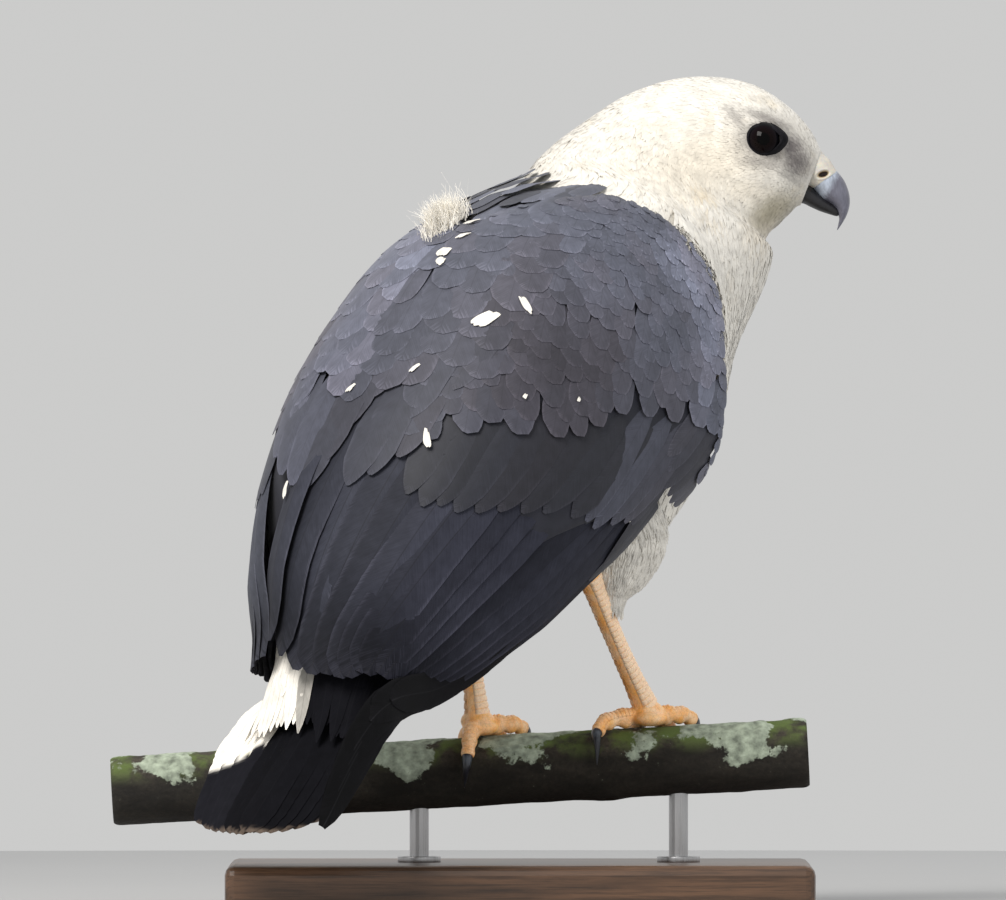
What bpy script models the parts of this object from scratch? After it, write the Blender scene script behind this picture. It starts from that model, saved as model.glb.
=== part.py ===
"""A white-necked hawk, life size, perched on a cut length of branch over a plain display stand.

The frame is in metres with +Z up. Its origin is the centre of the underside of the stand's base, and
the branch runs along X. The bird faces away to the right of the front, with its head turned to +X.
"""

import math
import random

import bmesh
import bpy
import mathutils
import numpy as np

MM = 0.001
GAP = 0.3 * MM
TOUCH = 0.0006 * MM
DRAW_APART = 0.004 * MM

# Driving sizes of the whole.
BASE_SIZE = (244 * MM, 190 * MM, 18 * MM)
BASE_EDGE = 4 * MM
BRANCH_RADIUS = 15.2 * MM
BRANCH_ENDS = (-170 * MM, 120 * MM)
BRANCH_HEIGHT = 57.8 * MM
BRANCH_SLOPE = 0.055
PERCH_X = 17.9 * MM
ROD_PLACES = (-42 * MM, 66 * MM)
ROD_RADIUS = 4 * MM

# The bird's own axes: forward and to its right, with its heading turned from +Y towards +X.
HEADING = math.radians(44)
FORWARD = np.array([math.sin(HEADING), math.cos(HEADING), 0.0])
RIGHT = np.array([math.cos(HEADING), -math.sin(HEADING), 0.0])
UP = np.array([0.0, 0.0, 1.0])
PERCH = np.array([PERCH_X, 0.0, 0.0])

# Body stations from the tail's tip to the base of the neck, in millimetres and degrees: forward of
# the perch, height, pitch, half width, depth to the back, depth to the belly, and the depth of the
# folded wing over it.
BODY_ROWS = (
    (-184, 38, 52, 40, 3, 3, 2),
    (-160, 66, 52, 36, 8, 6, 4),
    (-138, 92, 52, 30, 19, 14, 10),
    (-118, 116, 52, 42, 34, 25, 14),
    (-94, 144, 51, 54, 47, 38, 16),
    (-66, 174, 49, 63, 59, 51, 15),
    (-38, 200, 48, 66, 67, 58, 13),
    (-12, 223, 47, 66, 70, 61, 11),
    (14, 246, 47, 61, 64, 60, 8.5),
    (37, 268, 48, 52, 54, 54, 6),
)
# Neck and head stations: the top and the bottom of each section in X and Z, its heading, its Y and
# its half width. The sections fan out round the throat.
NECK_ROWS = (
    ((15.0, 313.8), (98.5, 266.0), 62, 40, 46),
    ((28.3, 327.2), (101.0, 275.0), 76, 46, 38.5),
    ((45.0, 338.4), (103.8, 280.0), 86, 49, 31.5),
    ((63.3, 344.7), (108.3, 284.0), 90, 50, 27.5),
    ((80.8, 345.9), (110.4, 286.3), 90, 50, 25.5),
    ((96.7, 343.0), (112.4, 288.2), 90, 50, 23.2),
    ((109.6, 335.7), (113.8, 289.6), 90, 50, 19.5),
    ((119.6, 326.3), (115.4, 291.2), 90, 50, 15.0),
    ((126.3, 315.0), (117.4, 292.0), 90, 50, 10.0),
)
HEAD_MIDPLANE = 50 * MM
TAIL_END = 2
NECK_START = 9
HEAD_START = 12
HEAD_END = 18
BODY_SIDES = 30
ROUNDNESS = 2.25


def body_stations():
    """Each station as one row: centre, up, right, half width, depth to the back and to the belly."""
    rows = []
    for forward, height, pitch, width, back, belly, _ in BODY_ROWS:
        pitch = math.radians(pitch)
        centre = PERCH + FORWARD * forward * MM + UP * height * MM
        up = math.cos(pitch) * UP - math.sin(pitch) * FORWARD
        rows.append([*centre, *up, *RIGHT, width * MM, back * MM, belly * MM])
    for top, bottom, heading, depth, width in NECK_ROWS:
        heading = math.radians(heading)
        run = (top[0] - bottom[0]) / 2
        rise = (top[1] - bottom[1]) / 2
        up = np.array([run, run / math.tan(heading), rise]) * MM
        half = np.linalg.norm(up)
        centre = np.array([(top[0] + bottom[0]) / 2, depth, (top[1] + bottom[1]) / 2]) * MM
        side = np.array([math.cos(heading), -math.sin(heading), 0.0])
        rows.append([*centre, *(up / half), *side, width * MM, half, half])
    return np.array(rows)


STATIONS = body_stations()
WING_DEPTHS = np.array([row[6] for row in BODY_ROWS] + [4.0] * len(NECK_ROWS)) * MM

# What the belly's loose feathers add below the wings' edges, and what the wing's bend adds at its
# lower edge, each as stations and millimetres, and the degrees from the back where each sets in.
BELLY_SWELL = ((2.0, 0), (3.0, 1), (4.0, 3), (5.0, 11), (6.0, 19), (7.0, 15), (8.0, 9), (9.0, 4), (10.0, 0))
BELLY_FROM, BELLY_FULL = 139.0, 155.0
BEND_SWELL = ((4.6, 0), (5.6, 2), (6.4, 5.5), (7.0, 7), (7.7, 6.5), (8.4, 4), (9.0, 1), (9.6, 0))
BEND_FROM, BEND_FULL = 88.0, 126.0


def swell(t, angle, rows, first, full):
    """A raised stretch: its height over the stations, let in smoothly between two angles."""
    ramp = np.clip((np.degrees(np.abs(angle)) - first) / (full - first), 0, 1)
    return np.interp(t, *zip(*rows)) * MM * ramp * ramp * (3 - 2 * ramp)


def station(t):
    """The smooth curve through the stations, read at the numbers t."""
    t = np.atleast_1d(np.asarray(t, float))
    whole = np.clip(np.floor(t).astype(int), 0, len(STATIONS) - 2)
    part = (t - whole)[:, None]
    first, second = STATIONS[whole], STATIONS[whole + 1]
    before = np.where(whole[:, None] > 0, STATIONS[np.maximum(whole - 1, 0)], 2 * first - second)
    last = np.minimum(whole + 2, len(STATIONS) - 1)
    after = np.where(whole[:, None] + 2 < len(STATIONS), STATIONS[last], 2 * second - first)
    row = 0.5 * (
        2 * first
        + (second - before) * part
        + (2 * before - 5 * first + 4 * second - after) * part**2
        + (3 * first - before - 3 * second + after) * part**3
    )
    centre, up, side = row[:, 0:3], row[:, 3:6], row[:, 6:9]
    up = up / np.linalg.norm(up, axis=1, keepdims=True)
    side = side - (side * up).sum(1, keepdims=True) * up
    side = side / np.linalg.norm(side, axis=1, keepdims=True)
    return centre, up, side, row[:, 9], row[:, 10], row[:, 11]


def skin(t, angle, lift=0.0, over_wing=0.0):
    """Points of the body at stations t and angles from the back (0) over the right side (90 degrees).

    lift raises them, and over_wing of 1 puts them on the outer face of the folded wing.
    """
    t, angle, lift, over_wing = np.broadcast_arrays(
        *(np.asarray(value, float) for value in (t, angle, lift, over_wing))
    )
    shape = t.shape
    t, angle, lift, over_wing = t.ravel(), angle.ravel(), lift.ravel(), over_wing.ravel()
    centre, up, side, width, back, belly = station(t)
    turned = (angle + math.pi) % (2 * math.pi) - math.pi
    bend = swell(t, turned, BEND_SWELL, BEND_FROM, BEND_FULL)
    lift = lift + swell(t, turned, BELLY_SWELL, BELLY_FROM, BELLY_FULL)
    lift = lift + over_wing * (bend + np.interp(t, np.arange(len(WING_DEPTHS)), WING_DEPTHS))
    across = np.sign(np.sin(angle)) * np.abs(np.sin(angle)) ** (2 / ROUNDNESS)
    along = np.sign(np.cos(angle)) * np.abs(np.cos(angle)) ** (2 / ROUNDNESS)
    depth = np.where(along > 0, back, belly)
    point = centre + side * ((width + lift) * across)[:, None] + up * ((depth + lift) * along)[:, None]
    return point.reshape(shape + (3,))


def material(name, colour, roughness, metallic=0.0):
    made = bpy.data.materials.new(name)
    made.use_nodes = True
    shader = made.node_tree.nodes["Principled BSDF"]
    shader.inputs["Base Color"].default_value = (*colour, 1.0)
    shader.inputs["Roughness"].default_value = roughness
    shader.inputs["Metallic"].default_value = metallic
    return made


def solid(name, points, faces, finish=None):
    """One closed object from points and faces, with its faces turned outwards."""
    mesh = bpy.data.meshes.new(name)
    mesh.from_pydata([tuple(map(float, point)) for point in points], [], faces)
    form = bmesh.new()
    form.from_mesh(mesh)
    bmesh.ops.triangulate(form, faces=form.faces)
    bmesh.ops.recalc_face_normals(form, faces=form.faces)
    if form.calc_volume(signed=True) < 0:
        bmesh.ops.reverse_faces(form, faces=form.faces)
    form.to_mesh(mesh)
    form.free()
    made = bpy.data.objects.new(name, mesh)
    bpy.context.scene.collection.objects.link(made)
    if finish:
        mesh.materials.append(finish)
    return made


def loft(name, rings, finish=None):
    """A closed solid through rings of points, with flat ends. A ring of equal points closes to a tip."""
    rings = np.asarray(rings, float)
    count, sides = rings.shape[:2]
    points = rings.reshape(-1, 3)
    faces = []
    for ring in range(count - 1):
        for side in range(sides):
            after = (side + 1) % sides
            first, second = ring * sides, (ring + 1) * sides
            faces.append((first + side, first + after, second + after, second + side))
    faces.append(tuple(range(sides)))
    faces.append(tuple((count - 1) * sides + side for side in range(sides)))
    return solid(name, points, faces, finish)


def smooth(made, degrees=40):
    made.data.shade_smooth()
    made.data.set_sharp_from_angle(angle=math.radians(degrees))


def apply_modifiers(made):
    graph = bpy.context.evaluated_depsgraph_get()
    mesh = bpy.data.meshes.new_from_object(made.evaluated_get(graph))
    old = made.data
    made.modifiers.clear()
    made.data = mesh
    bpy.data.meshes.remove(old)


def is_idle(point):
    """Whether a point lies in the middle of a straight edge that only two faces share."""
    if len(point.link_edges) != 2:
        return False
    first, second = (edge.other_vert(point).co - point.co for edge in point.link_edges)
    return first.length > 0 and second.length > 0 and first.angle(second) > math.radians(179.9)


def part_touching(form):
    """Draws apart points of two faces that only touch, so that the solid doesn't meet itself there."""
    form.verts.ensure_lookup_table()
    form.normal_update()
    tree = mathutils.kdtree.KDTree(len(form.verts))
    for number, point in enumerate(form.verts):
        tree.insert(point.co, number)
    tree.balance()
    moved = set()
    for number, point in enumerate(form.verts):
        for _, other, _ in tree.find_range(point.co, TOUCH):
            if other != number and number not in moved and other not in moved:
                form.verts[other].co -= form.verts[other].normal * DRAW_APART
                moved.add(other)


def keep_largest(made):
    """Keeps the largest closed surface, which drops loose scraps and fills sealed hollows."""
    form = bmesh.new()
    form.from_mesh(made.data)
    unseen = set(form.faces)
    shells = []
    while unseen:
        stack = [unseen.pop()]
        shell = set(stack)
        while stack:
            for edge in stack.pop().edges:
                for face in edge.link_faces:
                    if face in unseen:
                        unseen.remove(face)
                        shell.add(face)
                        stack.append(face)
        shells.append(shell)
    largest = max(shells, key=lambda shell: sum(face.calc_area() for face in shell))
    rest = [face for face in form.faces if face not in largest]
    bmesh.ops.delete(form, geom=rest, context="FACES")
    bmesh.ops.dissolve_verts(form, verts=[point for point in form.verts if is_idle(point)])
    bmesh.ops.triangulate(form, faces=form.faces, quad_method="BEAUTY", ngon_method="BEAUTY")
    part_touching(form)
    form.to_mesh(made.data)
    form.free()


def join(made, others, solver="MANIFOLD"):
    """Fuses the other closed objects into this one and removes them."""
    group = bpy.data.collections.new(made.name + "_pieces")
    bpy.context.scene.collection.children.link(group)
    for other in others:
        bpy.context.scene.collection.objects.unlink(other)
        group.objects.link(other)
    union = made.modifiers.new("join", "BOOLEAN")
    union.operation = "UNION"
    union.operand_type = "COLLECTION"
    union.solver = solver
    union.collection = group
    apply_modifiers(made)
    for other in others:
        bpy.data.objects.remove(other)
    bpy.data.collections.remove(group)
    keep_largest(made)


def cut(made, tool, solver="MANIFOLD"):
    """Cuts the tool's shape from the object and removes the tool."""
    difference = made.modifiers.new("cut", "BOOLEAN")
    difference.operation = "DIFFERENCE"
    difference.solver = solver
    difference.object = tool
    apply_modifiers(made)
    bpy.data.objects.remove(tool)
    keep_largest(made)


def clear_scene():
    for made in list(bpy.data.objects):
        bpy.data.objects.remove(made)


# Torso, neck and head

def flesh(name, start, end, steps, finish, lift=0.0, gaps=(GAP / 2, GAP / 2)):
    """A length of the body between two stations, each end flat and held back by its gap."""
    places = np.linspace(start, end, steps + 1)
    angles = np.linspace(0, 2 * math.pi, BODY_SIDES, endpoint=False)
    grid, around = np.meshgrid(places, angles, indexing="ij")
    rings = skin(grid, around, lift)
    _, up, side, *_ = station(places[[0, -1]])
    forward = np.cross(up, side)
    rings[0] += forward[0] * gaps[0]
    rings[-1] -= forward[1] * gaps[1]
    return loft(name, rings, finish)


def ellipsoid(name, centre, radii, rows=6, sides=12, finish=None, axes=None):
    """A round solid with its radii along the axes given as rows."""
    axes = np.eye(3) if axes is None else np.asarray(axes, float)
    points = [np.array([0, 0, 1.0])]
    for row in range(1, rows):
        polar = math.pi * row / rows
        for side in range(sides):
            turn = 2 * math.pi * side / sides
            across = math.sin(polar)
            points.append(np.array([across * math.cos(turn), across * math.sin(turn), math.cos(polar)]))
    points.append(np.array([0, 0, -1.0]))
    faces = []
    for side in range(sides):
        after = (side + 1) % sides
        faces.append((0, 1 + side, 1 + after))
        base = 1 + (rows - 2) * sides
        faces.append((base + side, len(points) - 1, base + after))
        for row in range(rows - 2):
            first, second = 1 + row * sides, 1 + (row + 1) * sides
            faces.append((first + side, second + side, second + after, first + after))
    placed = np.array(points) * np.asarray(radii) @ axes + np.asarray(centre)
    return solid(name, placed, faces, finish)


def tube(name, path, radii, sides=10, finish=None, flat=1.0, up=UP):
    """A tapered tube along a path. flat squashes it along the direction up."""
    path = np.asarray(path, float)
    ahead = np.gradient(path, axis=0)
    ahead /= np.linalg.norm(ahead, axis=1, keepdims=True)
    rings = []
    for point, direction, radius in zip(path, ahead, radii):
        across = np.cross(direction, up)
        across /= np.linalg.norm(across)
        over = np.cross(across, direction)
        turn = np.linspace(0, 2 * math.pi, sides, endpoint=False)
        rings.append(
            point + radius * (np.cos(turn)[:, None] * across + flat * np.sin(turn)[:, None] * over)
        )
    return loft(name, rings, finish)


def curve_points(points, count):
    """A smooth curve through a few points, read at count places."""
    points = np.asarray(points, float)
    ends = np.vstack([2 * points[0] - points[1], points, 2 * points[-1] - points[-2]])
    read = []
    for place in np.linspace(0, len(points) - 1, count):
        whole = min(int(place), len(points) - 2)
        part = place - whole
        p0, p1, p2, p3 = ends[whole : whole + 4]
        read.append(
            0.5 * (2 * p1 + (p2 - p0) * part + (2 * p0 - 5 * p1 + 4 * p2 - p3) * part**2
                   + (3 * p1 - p0 - 3 * p2 + p3) * part**3)
        )
    return np.array(read)


EYE_X = 101.6 * MM
EYE_Z = 319.6 * MM
EYE_RADIUS = 7.4 * MM
EYE_SINK = 3.4 * MM
EYE_SHOW = 6.2 * MM
NOSTRIL = (126.9 * MM, 305.1 * MM)
LID_STEPS = 12
LID_SIDES = 5
# The slit of the mouth behind the bill: X, Z and how far its middle stands off the head's side.
GAPE = ((108.0, 303.2, 0.4), (113.5, 301.0, 0.2), (119.5, 298.8, 0.1))


def head_side(x, z):
    """The head's half width at a point of its profile, from the nearest place on the skin."""
    t, angle = np.meshgrid(np.linspace(HEAD_START - 1, HEAD_END, 160), np.linspace(0.1, 3.0, 160))
    place = skin(t, angle)
    miss = (place[..., 0] - x) ** 2 + (place[..., 2] - z) ** 2
    nearest = np.unravel_index(np.argmin(miss), miss.shape)
    return HEAD_MIDPLANE - place[nearest][1]


def eye_centre(side):
    """side is 1 on the right and -1 on the left."""
    depth = head_side(EYE_X, EYE_Z) - EYE_SINK
    return np.array([EYE_X, HEAD_MIDPLANE - side * depth, EYE_Z])


def lid_ring(side, radius, thickness, lift):
    """A low rounded ring round the eye, which makes the upper and lower lid."""
    centre = eye_centre(side) + np.array([0, -side * lift, 0])
    rings = []
    for step in range(LID_STEPS):
        turn = 2 * math.pi * step / LID_STEPS
        outward = np.array([math.cos(turn), 0, math.sin(turn) * 0.92])
        middle = centre + outward * radius
        face = np.array([0, -side, 0.0])
        rings.append(
            [middle + thickness * (math.cos(a) * outward + 0.8 * math.sin(a) * face)
             for a in np.linspace(0, 2 * math.pi, LID_SIDES, endpoint=False)]
        )
    rings = np.array(rings)
    points = rings.reshape(-1, 3)
    faces = []
    for ring in range(LID_STEPS):
        for a in range(LID_SIDES):
            after = (a + 1) % LID_SIDES
            first, second = ring * LID_SIDES, ((ring + 1) % LID_STEPS) * LID_SIDES
            faces.append((first + a, first + after, second + after, second + a))
    return solid("lid", points, faces)


def make_head(finish):
    head = flesh("head", HEAD_START, HEAD_END, 8, finish)
    added = []
    for side in (1, -1):
        centre = eye_centre(side)
        brow = curve_points(
            [centre + np.array([-9, -side * 1.2, 3.2]) * MM,
             centre + np.array([-1, -side * 3.6, 7.6]) * MM,
             centre + np.array([8, -side * 3.2, 6.4]) * MM,
             centre + np.array([15, side * 1.5, 1.0]) * MM], 6)
        added.append(tube("brow", brow, np.array([0.8, 1.8, 2.3, 2.3, 1.8, 0.7]) * MM, 6))
        added.append(lid_ring(side, EYE_SHOW + 0.9 * MM, 1.25 * MM, 4.2 * MM))
    join(head, added)
    for side in (1, -1):
        cut(head, ellipsoid("socket", eye_centre(side), [EYE_RADIUS + GAP] * 3, 6, 12))
        places = []
        for x, z, stand_off in GAPE:
            depth = head_side(x * MM, z * MM) + stand_off * MM
            places.append((x * MM, HEAD_MIDPLANE - side * depth, z * MM))
        cut(head, tube("gape", curve_points(places, 4), np.array([0.25, 0.7, 0.8, 0.7]) * MM, 5))
    smooth(head)
    return head


def make_eyes(finish):
    for side, name in ((1, "eye_right"), (-1, "eye_left")):
        smooth(ellipsoid(name, eye_centre(side), [EYE_RADIUS] * 3, 7, 12, finish))


# Bill: each station gives the top and the bottom of the profile in X and Z and the half width.
CERE_ROWS = (
    ((126.9, 314.0), (121.0, 299.8), 8.8),
    ((129.6, 311.4), (121.6, 299.4), 8.2),
    ((132.4, 306.8), (122.2, 299.2), 7.6),
)
UPPER_BILL_ROWS = (
    ((132.9, 306.3), (122.7, 298.8), 7.3),
    ((135.9, 302.3), (125.9, 294.6), 6.5),
    ((137.8, 297.2), (130.2, 292.3), 5.2),
    ((138.1, 292.6), (132.4, 289.9), 3.8),
    ((137.0, 288.4), (133.6, 286.9), 2.4),
    ((135.2, 285.0), (133.3, 284.3), 1.2),
    ((133.1, 281.9), (132.7, 281.8), 0.3),
)
LOWER_BILL_ROWS = (
    ((120.8, 298.3), (118.6, 292.2), 7.0),
    ((123.2, 295.6), (121.4, 291.0), 6.4),
    ((126.8, 292.6), (125.4, 289.5), 5.2),
    ((129.6, 290.6), (129.0, 288.3), 3.8),
    ((131.6, 289.2), (131.5, 288.2), 1.8),
)


def bill_piece(name, rows, finish, sides=14, keel=1.8):
    """A loft of the bill's sections in the head's middle plane."""
    rings = []
    for top, bottom, width in rows:
        top = np.array([top[0], 0, top[1]]) * MM
        bottom = np.array([bottom[0], 0, bottom[1]]) * MM
        centre = (top + bottom) / 2 + np.array([0, HEAD_MIDPLANE, 0])
        half = (top - bottom) / 2
        turn = np.linspace(0, 2 * math.pi, sides, endpoint=False)
        across = np.sign(np.sin(turn)) * np.abs(np.sin(turn)) ** (2 / keel)
        rings.append(centre + np.cos(turn)[:, None] * half - across[:, None] * np.array([0, width * MM, 0]))
    made = loft(name, rings, finish)
    smooth(made, 50)
    return made


def make_bill(horn, cere_skin):
    cere = bill_piece("cere", CERE_ROWS, cere_skin, 16, 2.0)
    for side in (1, -1):
        place = (NOSTRIL[0], HEAD_MIDPLANE - side * 7.4 * MM, NOSTRIL[1])
        cut(cere, ellipsoid("nostril", place, (1.9 * MM, 2.4 * MM, 1.05 * MM), 6, 10))
    bill_piece("bill_upper", UPPER_BILL_ROWS, horn)
    bill_piece("bill_lower", LOWER_BILL_ROWS, horn, 12, 2.2)


# Feathers

VANE_HALF = 0.45 * MM
LAYER = 1.15 * MM
SHINGLE_DEPTH = 2.6 * MM


def rounded(u, shoulder=0.7, root=0.6, tip=0.2):
    """The outline of a feather: narrower at its root, full to its shoulder, then rounded off."""
    if u < shoulder:
        return root + (1 - root) * math.sin(math.pi / 2 * u / shoulder)
    return max(tip, math.sqrt(max(0.0, 1 - ((u - shoulder) / (1.02 - shoulder)) ** 2)))


def vane(place, rows=5, outline=rounded):
    """A thin closed feather. place(u, c) gives the point at u along it and c across it, and the
    direction that its thickness stands in."""
    rings = []
    for u in np.linspace(0, 1, rows) ** 0.75:
        half = outline(u)
        middle, over = place(u, 0.0)
        left, right = place(u, -half)[0], place(u, half)[0]
        rings.append([left, middle + over * VANE_HALF, right, middle - over * VANE_HALF])
    return feather_solid(rings)


def shingle(place):
    """A covert feather whose underside is sunk in what carries it."""
    rings = []
    for u in (0.0, 0.62, 1.0):
        half = rounded(u, 0.6, 0.7, 0.45)
        middle, over = place(u, 0.0)
        left, right = place(u, -half)[0], place(u, half)[0]
        rings.append([left, middle + over * VANE_HALF, right, middle - over * SHINGLE_DEPTH])
    return feather_solid(rings)


def feather_solid(rings):
    """Joins rings of left edge, upper middle, right edge and lower middle, split alike on both faces."""
    points = np.array(rings).reshape(-1, 3)
    faces = []
    for ring in range(len(rings) - 1):
        first, second = ring * 4, (ring + 1) * 4
        for a, b in ((0, 1), (1, 2), (3, 2), (0, 3)):
            faces.append((first + a, first + b, second + b))
            faces.append((first + a, second + b, second + a))
    for first in (0, (len(rings) - 1) * 4):
        faces.append((first, first + 1, first + 2, first + 3))
    return solid("feather", points, faces)


def wing_depth(t):
    return np.interp(t, np.arange(len(WING_DEPTHS)), WING_DEPTHS)


def on_wing(side, root, tip, half_width, lifts, tilt):
    """A feather's place on the folded wing's outer face, between its root and tip, each a station and
    degrees from the back. lifts are its heights at the root, middle and tip."""
    def place(u, c):
        t = root[0] + (tip[0] - root[0]) * u
        angle = math.radians(root[1] + (tip[1] - root[1]) * u)
        centre, _, _, half, back, _ = station(t)
        angle += c * half_width / (0.5 * (half[0] + back[0]) + wing_depth(t))
        lift = np.interp(u, (0, 0.5, 1), lifts) + tilt * c
        point = skin(t, side * angle, lift, 1.0)
        over = point - centre[0]
        return point, over / np.linalg.norm(over)
    return place


WING_FRONT = 8.95
WING_FRONT_DROP = 1.7
WING_BACK = 3.5
WING_TOP = 3.0
WING_EDGE = 137.0
WING_INNER = 1.5 * MM
CORE_SINK = 1.5 * MM

# Tiers of coverts: how many, the stations of their roots and tips, the degrees of the first and the
# last, and their half width.
COVERTS = (
    (10, 5.05, 3.95, 15, 132, 9.4 * MM),
    (9, 5.95, 4.9, 24, 127, 9.8 * MM),
    (8, 6.95, 5.9, 30, 117, 10.2 * MM),
)
COVERT_LIFTS = (-3.2 * MM, -0.9 * MM, 0.1 * MM)
COVERT_TILT = 0.5 * MM
# The feathers between the shoulders: the stations of root and tip and the degrees from the back.
SCAPULARS = ((5.7, 4.4, 11), (6.8, 5.5, 10), (7.9, 6.6, 12), (8.6, 7.6, 22))
SCAPULAR_HALF = 9.5 * MM
SCAPULAR_LIFTS = (-3.0 * MM, -0.6 * MM, 0.7 * MM)
SCAPULAR_TILT = 0.4 * MM
# The long feathers behind them: how many, and the degrees and station of their tips.
SECONDARIES = 11
SECONDARY_HALF = 10.2 * MM
SECONDARY_LIFTS = (-4.2 * MM, -1.7 * MM, -0.9 * MM)
SECONDARY_TIPS = ((-14, 2.0), (0, 1.78), (15, 1.66), (46, 1.7), (87, 2.02), (121, 2.4))
PARTING = ((1.2, -42), (2.3, -28), (3.0, -15), (3.5, -5), (4.6, 1), (7.4, 2), (9.3, 3))
PRIMARY_LENGTHS = (0.70, 0.82, 0.92, 1.0, 0.96, 0.86)


def wing_core(name, side, finish):
    """The folded arm with its small feathers: a curved shell over the body's side, thin at its rims."""
    ahead, across = 8, 8
    inner, outer = [], []
    for i in range(ahead + 1):
        for j in range(across + 1):
            a, b = i / ahead, j / across
            angle = WING_TOP + (WING_EDGE - WING_TOP) * b
            front = WING_FRONT - WING_FRONT_DROP * max(0.0, (angle - 72) / 65) ** 1.3
            back = WING_BACK + 0.5 * abs(2 * b - 1) ** 2
            t = front + (back - front) * a
            turn = side * math.radians(angle)
            rim = min(1.0, 4.0 * min(a, 1 - a) + 0.1) * min(1.0, 4.0 * min(b, 1 - b) + 0.15)
            inner.append(skin(t, turn, WING_INNER))
            outer.append(skin(t, turn, WING_INNER + (wing_depth(t) - CORE_SINK - WING_INNER) * rim ** 0.6))
    count = (ahead + 1) * (across + 1)

    def at(i, j, layer):
        return layer * count + i * (across + 1) + j

    faces = []
    for i in range(ahead):
        for j in range(across):
            for layer in (0, 1):
                faces.append((at(i, j, layer), at(i, j + 1, layer), at(i + 1, j + 1, layer)))
                faces.append((at(i, j, layer), at(i + 1, j + 1, layer), at(i + 1, j, layer)))
    for i in range(ahead):
        for j in (0, across):
            faces.append((at(i, j, 0), at(i + 1, j, 0), at(i + 1, j, 1), at(i, j, 1)))
    for j in range(across):
        for i in (0, ahead):
            faces.append((at(i, j, 0), at(i, j + 1, 0), at(i, j + 1, 1), at(i, j, 1)))
    return solid(name, np.array(inner + outer), faces, finish)


# The path of a wing-tip feather over the right of the tail, and of one tucked under its left:
# stations, degrees from the back and millimetres over the wing's face.
OVER_TAIL = ((4.5, 119, -2.5), (3.3, 126, 0.5), (2.4, 118, 2.5), (1.4, 79, 11.0), (-0.15, 60, 7.5))
UNDER_TAIL = ((4.5, 119, -2.5), (3.3, 124, 0.5), (2.3, 124, 2.0), (1.4, 130, 6.0), (0.8, 135, 9.0))


def primary(side, number, over_tail):
    """One long wing-tip feather, from under the secondaries to the tail, over it or tucked below it."""
    places, outs = [], []
    for t, angle, lift in OVER_TAIL if over_tail else UNDER_TAIL:
        spread = 3.6 * (t + 0.3) / 4.8 * number
        turn = side * math.radians(angle + spread)
        point = skin(t, turn, lift * MM - 0.9 * LAYER * number, 1.0)
        out = point - station(t)[0][0]
        places.append(point)
        outs.append(out / np.linalg.norm(out))
    path = curve_points(places, 21)
    outward = curve_points(outs, 21)
    ahead = np.gradient(path, axis=0)
    reach = PRIMARY_LENGTHS[number]

    def place(u, c):
        at = 20 * u * reach
        whole = min(int(at), 19)
        part = at - whole
        middle = path[whole] + (path[whole + 1] - path[whole]) * part
        over = outward[whole] + (outward[whole + 1] - outward[whole]) * part
        direction = ahead[whole] / np.linalg.norm(ahead[whole])
        over = over - direction * (over @ direction)
        over /= np.linalg.norm(over)
        across = np.cross(direction, over) * -side
        return middle + across * c * (8.6 - 1.2 * u * reach) * MM, over
    return place


def parting_wall():
    """A thin curved wall along the line where the two folded wings meet over the back."""
    rings = []
    for t in np.linspace(PARTING[0][0], PARTING[-1][0], 16):
        angle = math.radians(np.interp(t, *zip(*PARTING)))
        low, high = skin(t, angle, -2 * MM), skin(t, angle, 34 * MM)
        sideways = station(t)[2][0] * 0.7 * GAP
        rings.append([low - sideways, high - sideways, high + sideways, low + sideways])
    return loft("wall", rings)


def make_wing(name, side, finish, rng):
    wing = wing_core(name, side, finish)
    feathers = []
    for number in range(SECONDARIES):
        part = number / (SECONDARIES - 1)
        tip_angle = -6 + 124 * part
        root = (4.75, 10 + 121 * part)
        tip = (np.interp(tip_angle, *zip(*SECONDARY_TIPS)) + rng.uniform(-0.04, 0.04), tip_angle)
        feathers.append(vane(on_wing(side, root, tip, SECONDARY_HALF, SECONDARY_LIFTS, LAYER)))
    for number in range(len(PRIMARY_LENGTHS)):
        feathers.append(vane(primary(side, number, side > 0), 6))
    for count, root_t, tip_t, first, last, half in COVERTS:
        for number in range(count):
            angle = first + (last - first) * number / (count - 1) + rng.uniform(-1.2, 1.2)
            root = (root_t, angle)
            tip = (tip_t + rng.uniform(-0.07, 0.07), angle - 3)
            feathers.append(shingle(on_wing(side, root, tip, half, COVERT_LIFTS, COVERT_TILT)))
    for root_t, tip_t, angle in SCAPULARS:
        root = (root_t, angle + 3)
        tip = (tip_t + rng.uniform(-0.07, 0.07), angle)
        feathers.append(shingle(on_wing(side, root, tip, SCAPULAR_HALF, SCAPULAR_LIFTS, SCAPULAR_TILT)))
    join(wing, feathers)
    cut(wing, parting_wall())
    smooth(wing)
    return wing


# How far the outermost tail feather's middle stands out, along the tail, and the tail's reach.
TAIL_SPREAD = ((0.0, 20), (0.2, 36), (0.4, 41), (0.7, 38), (1.1, 30))
TAIL_REACH = 1.13


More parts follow.
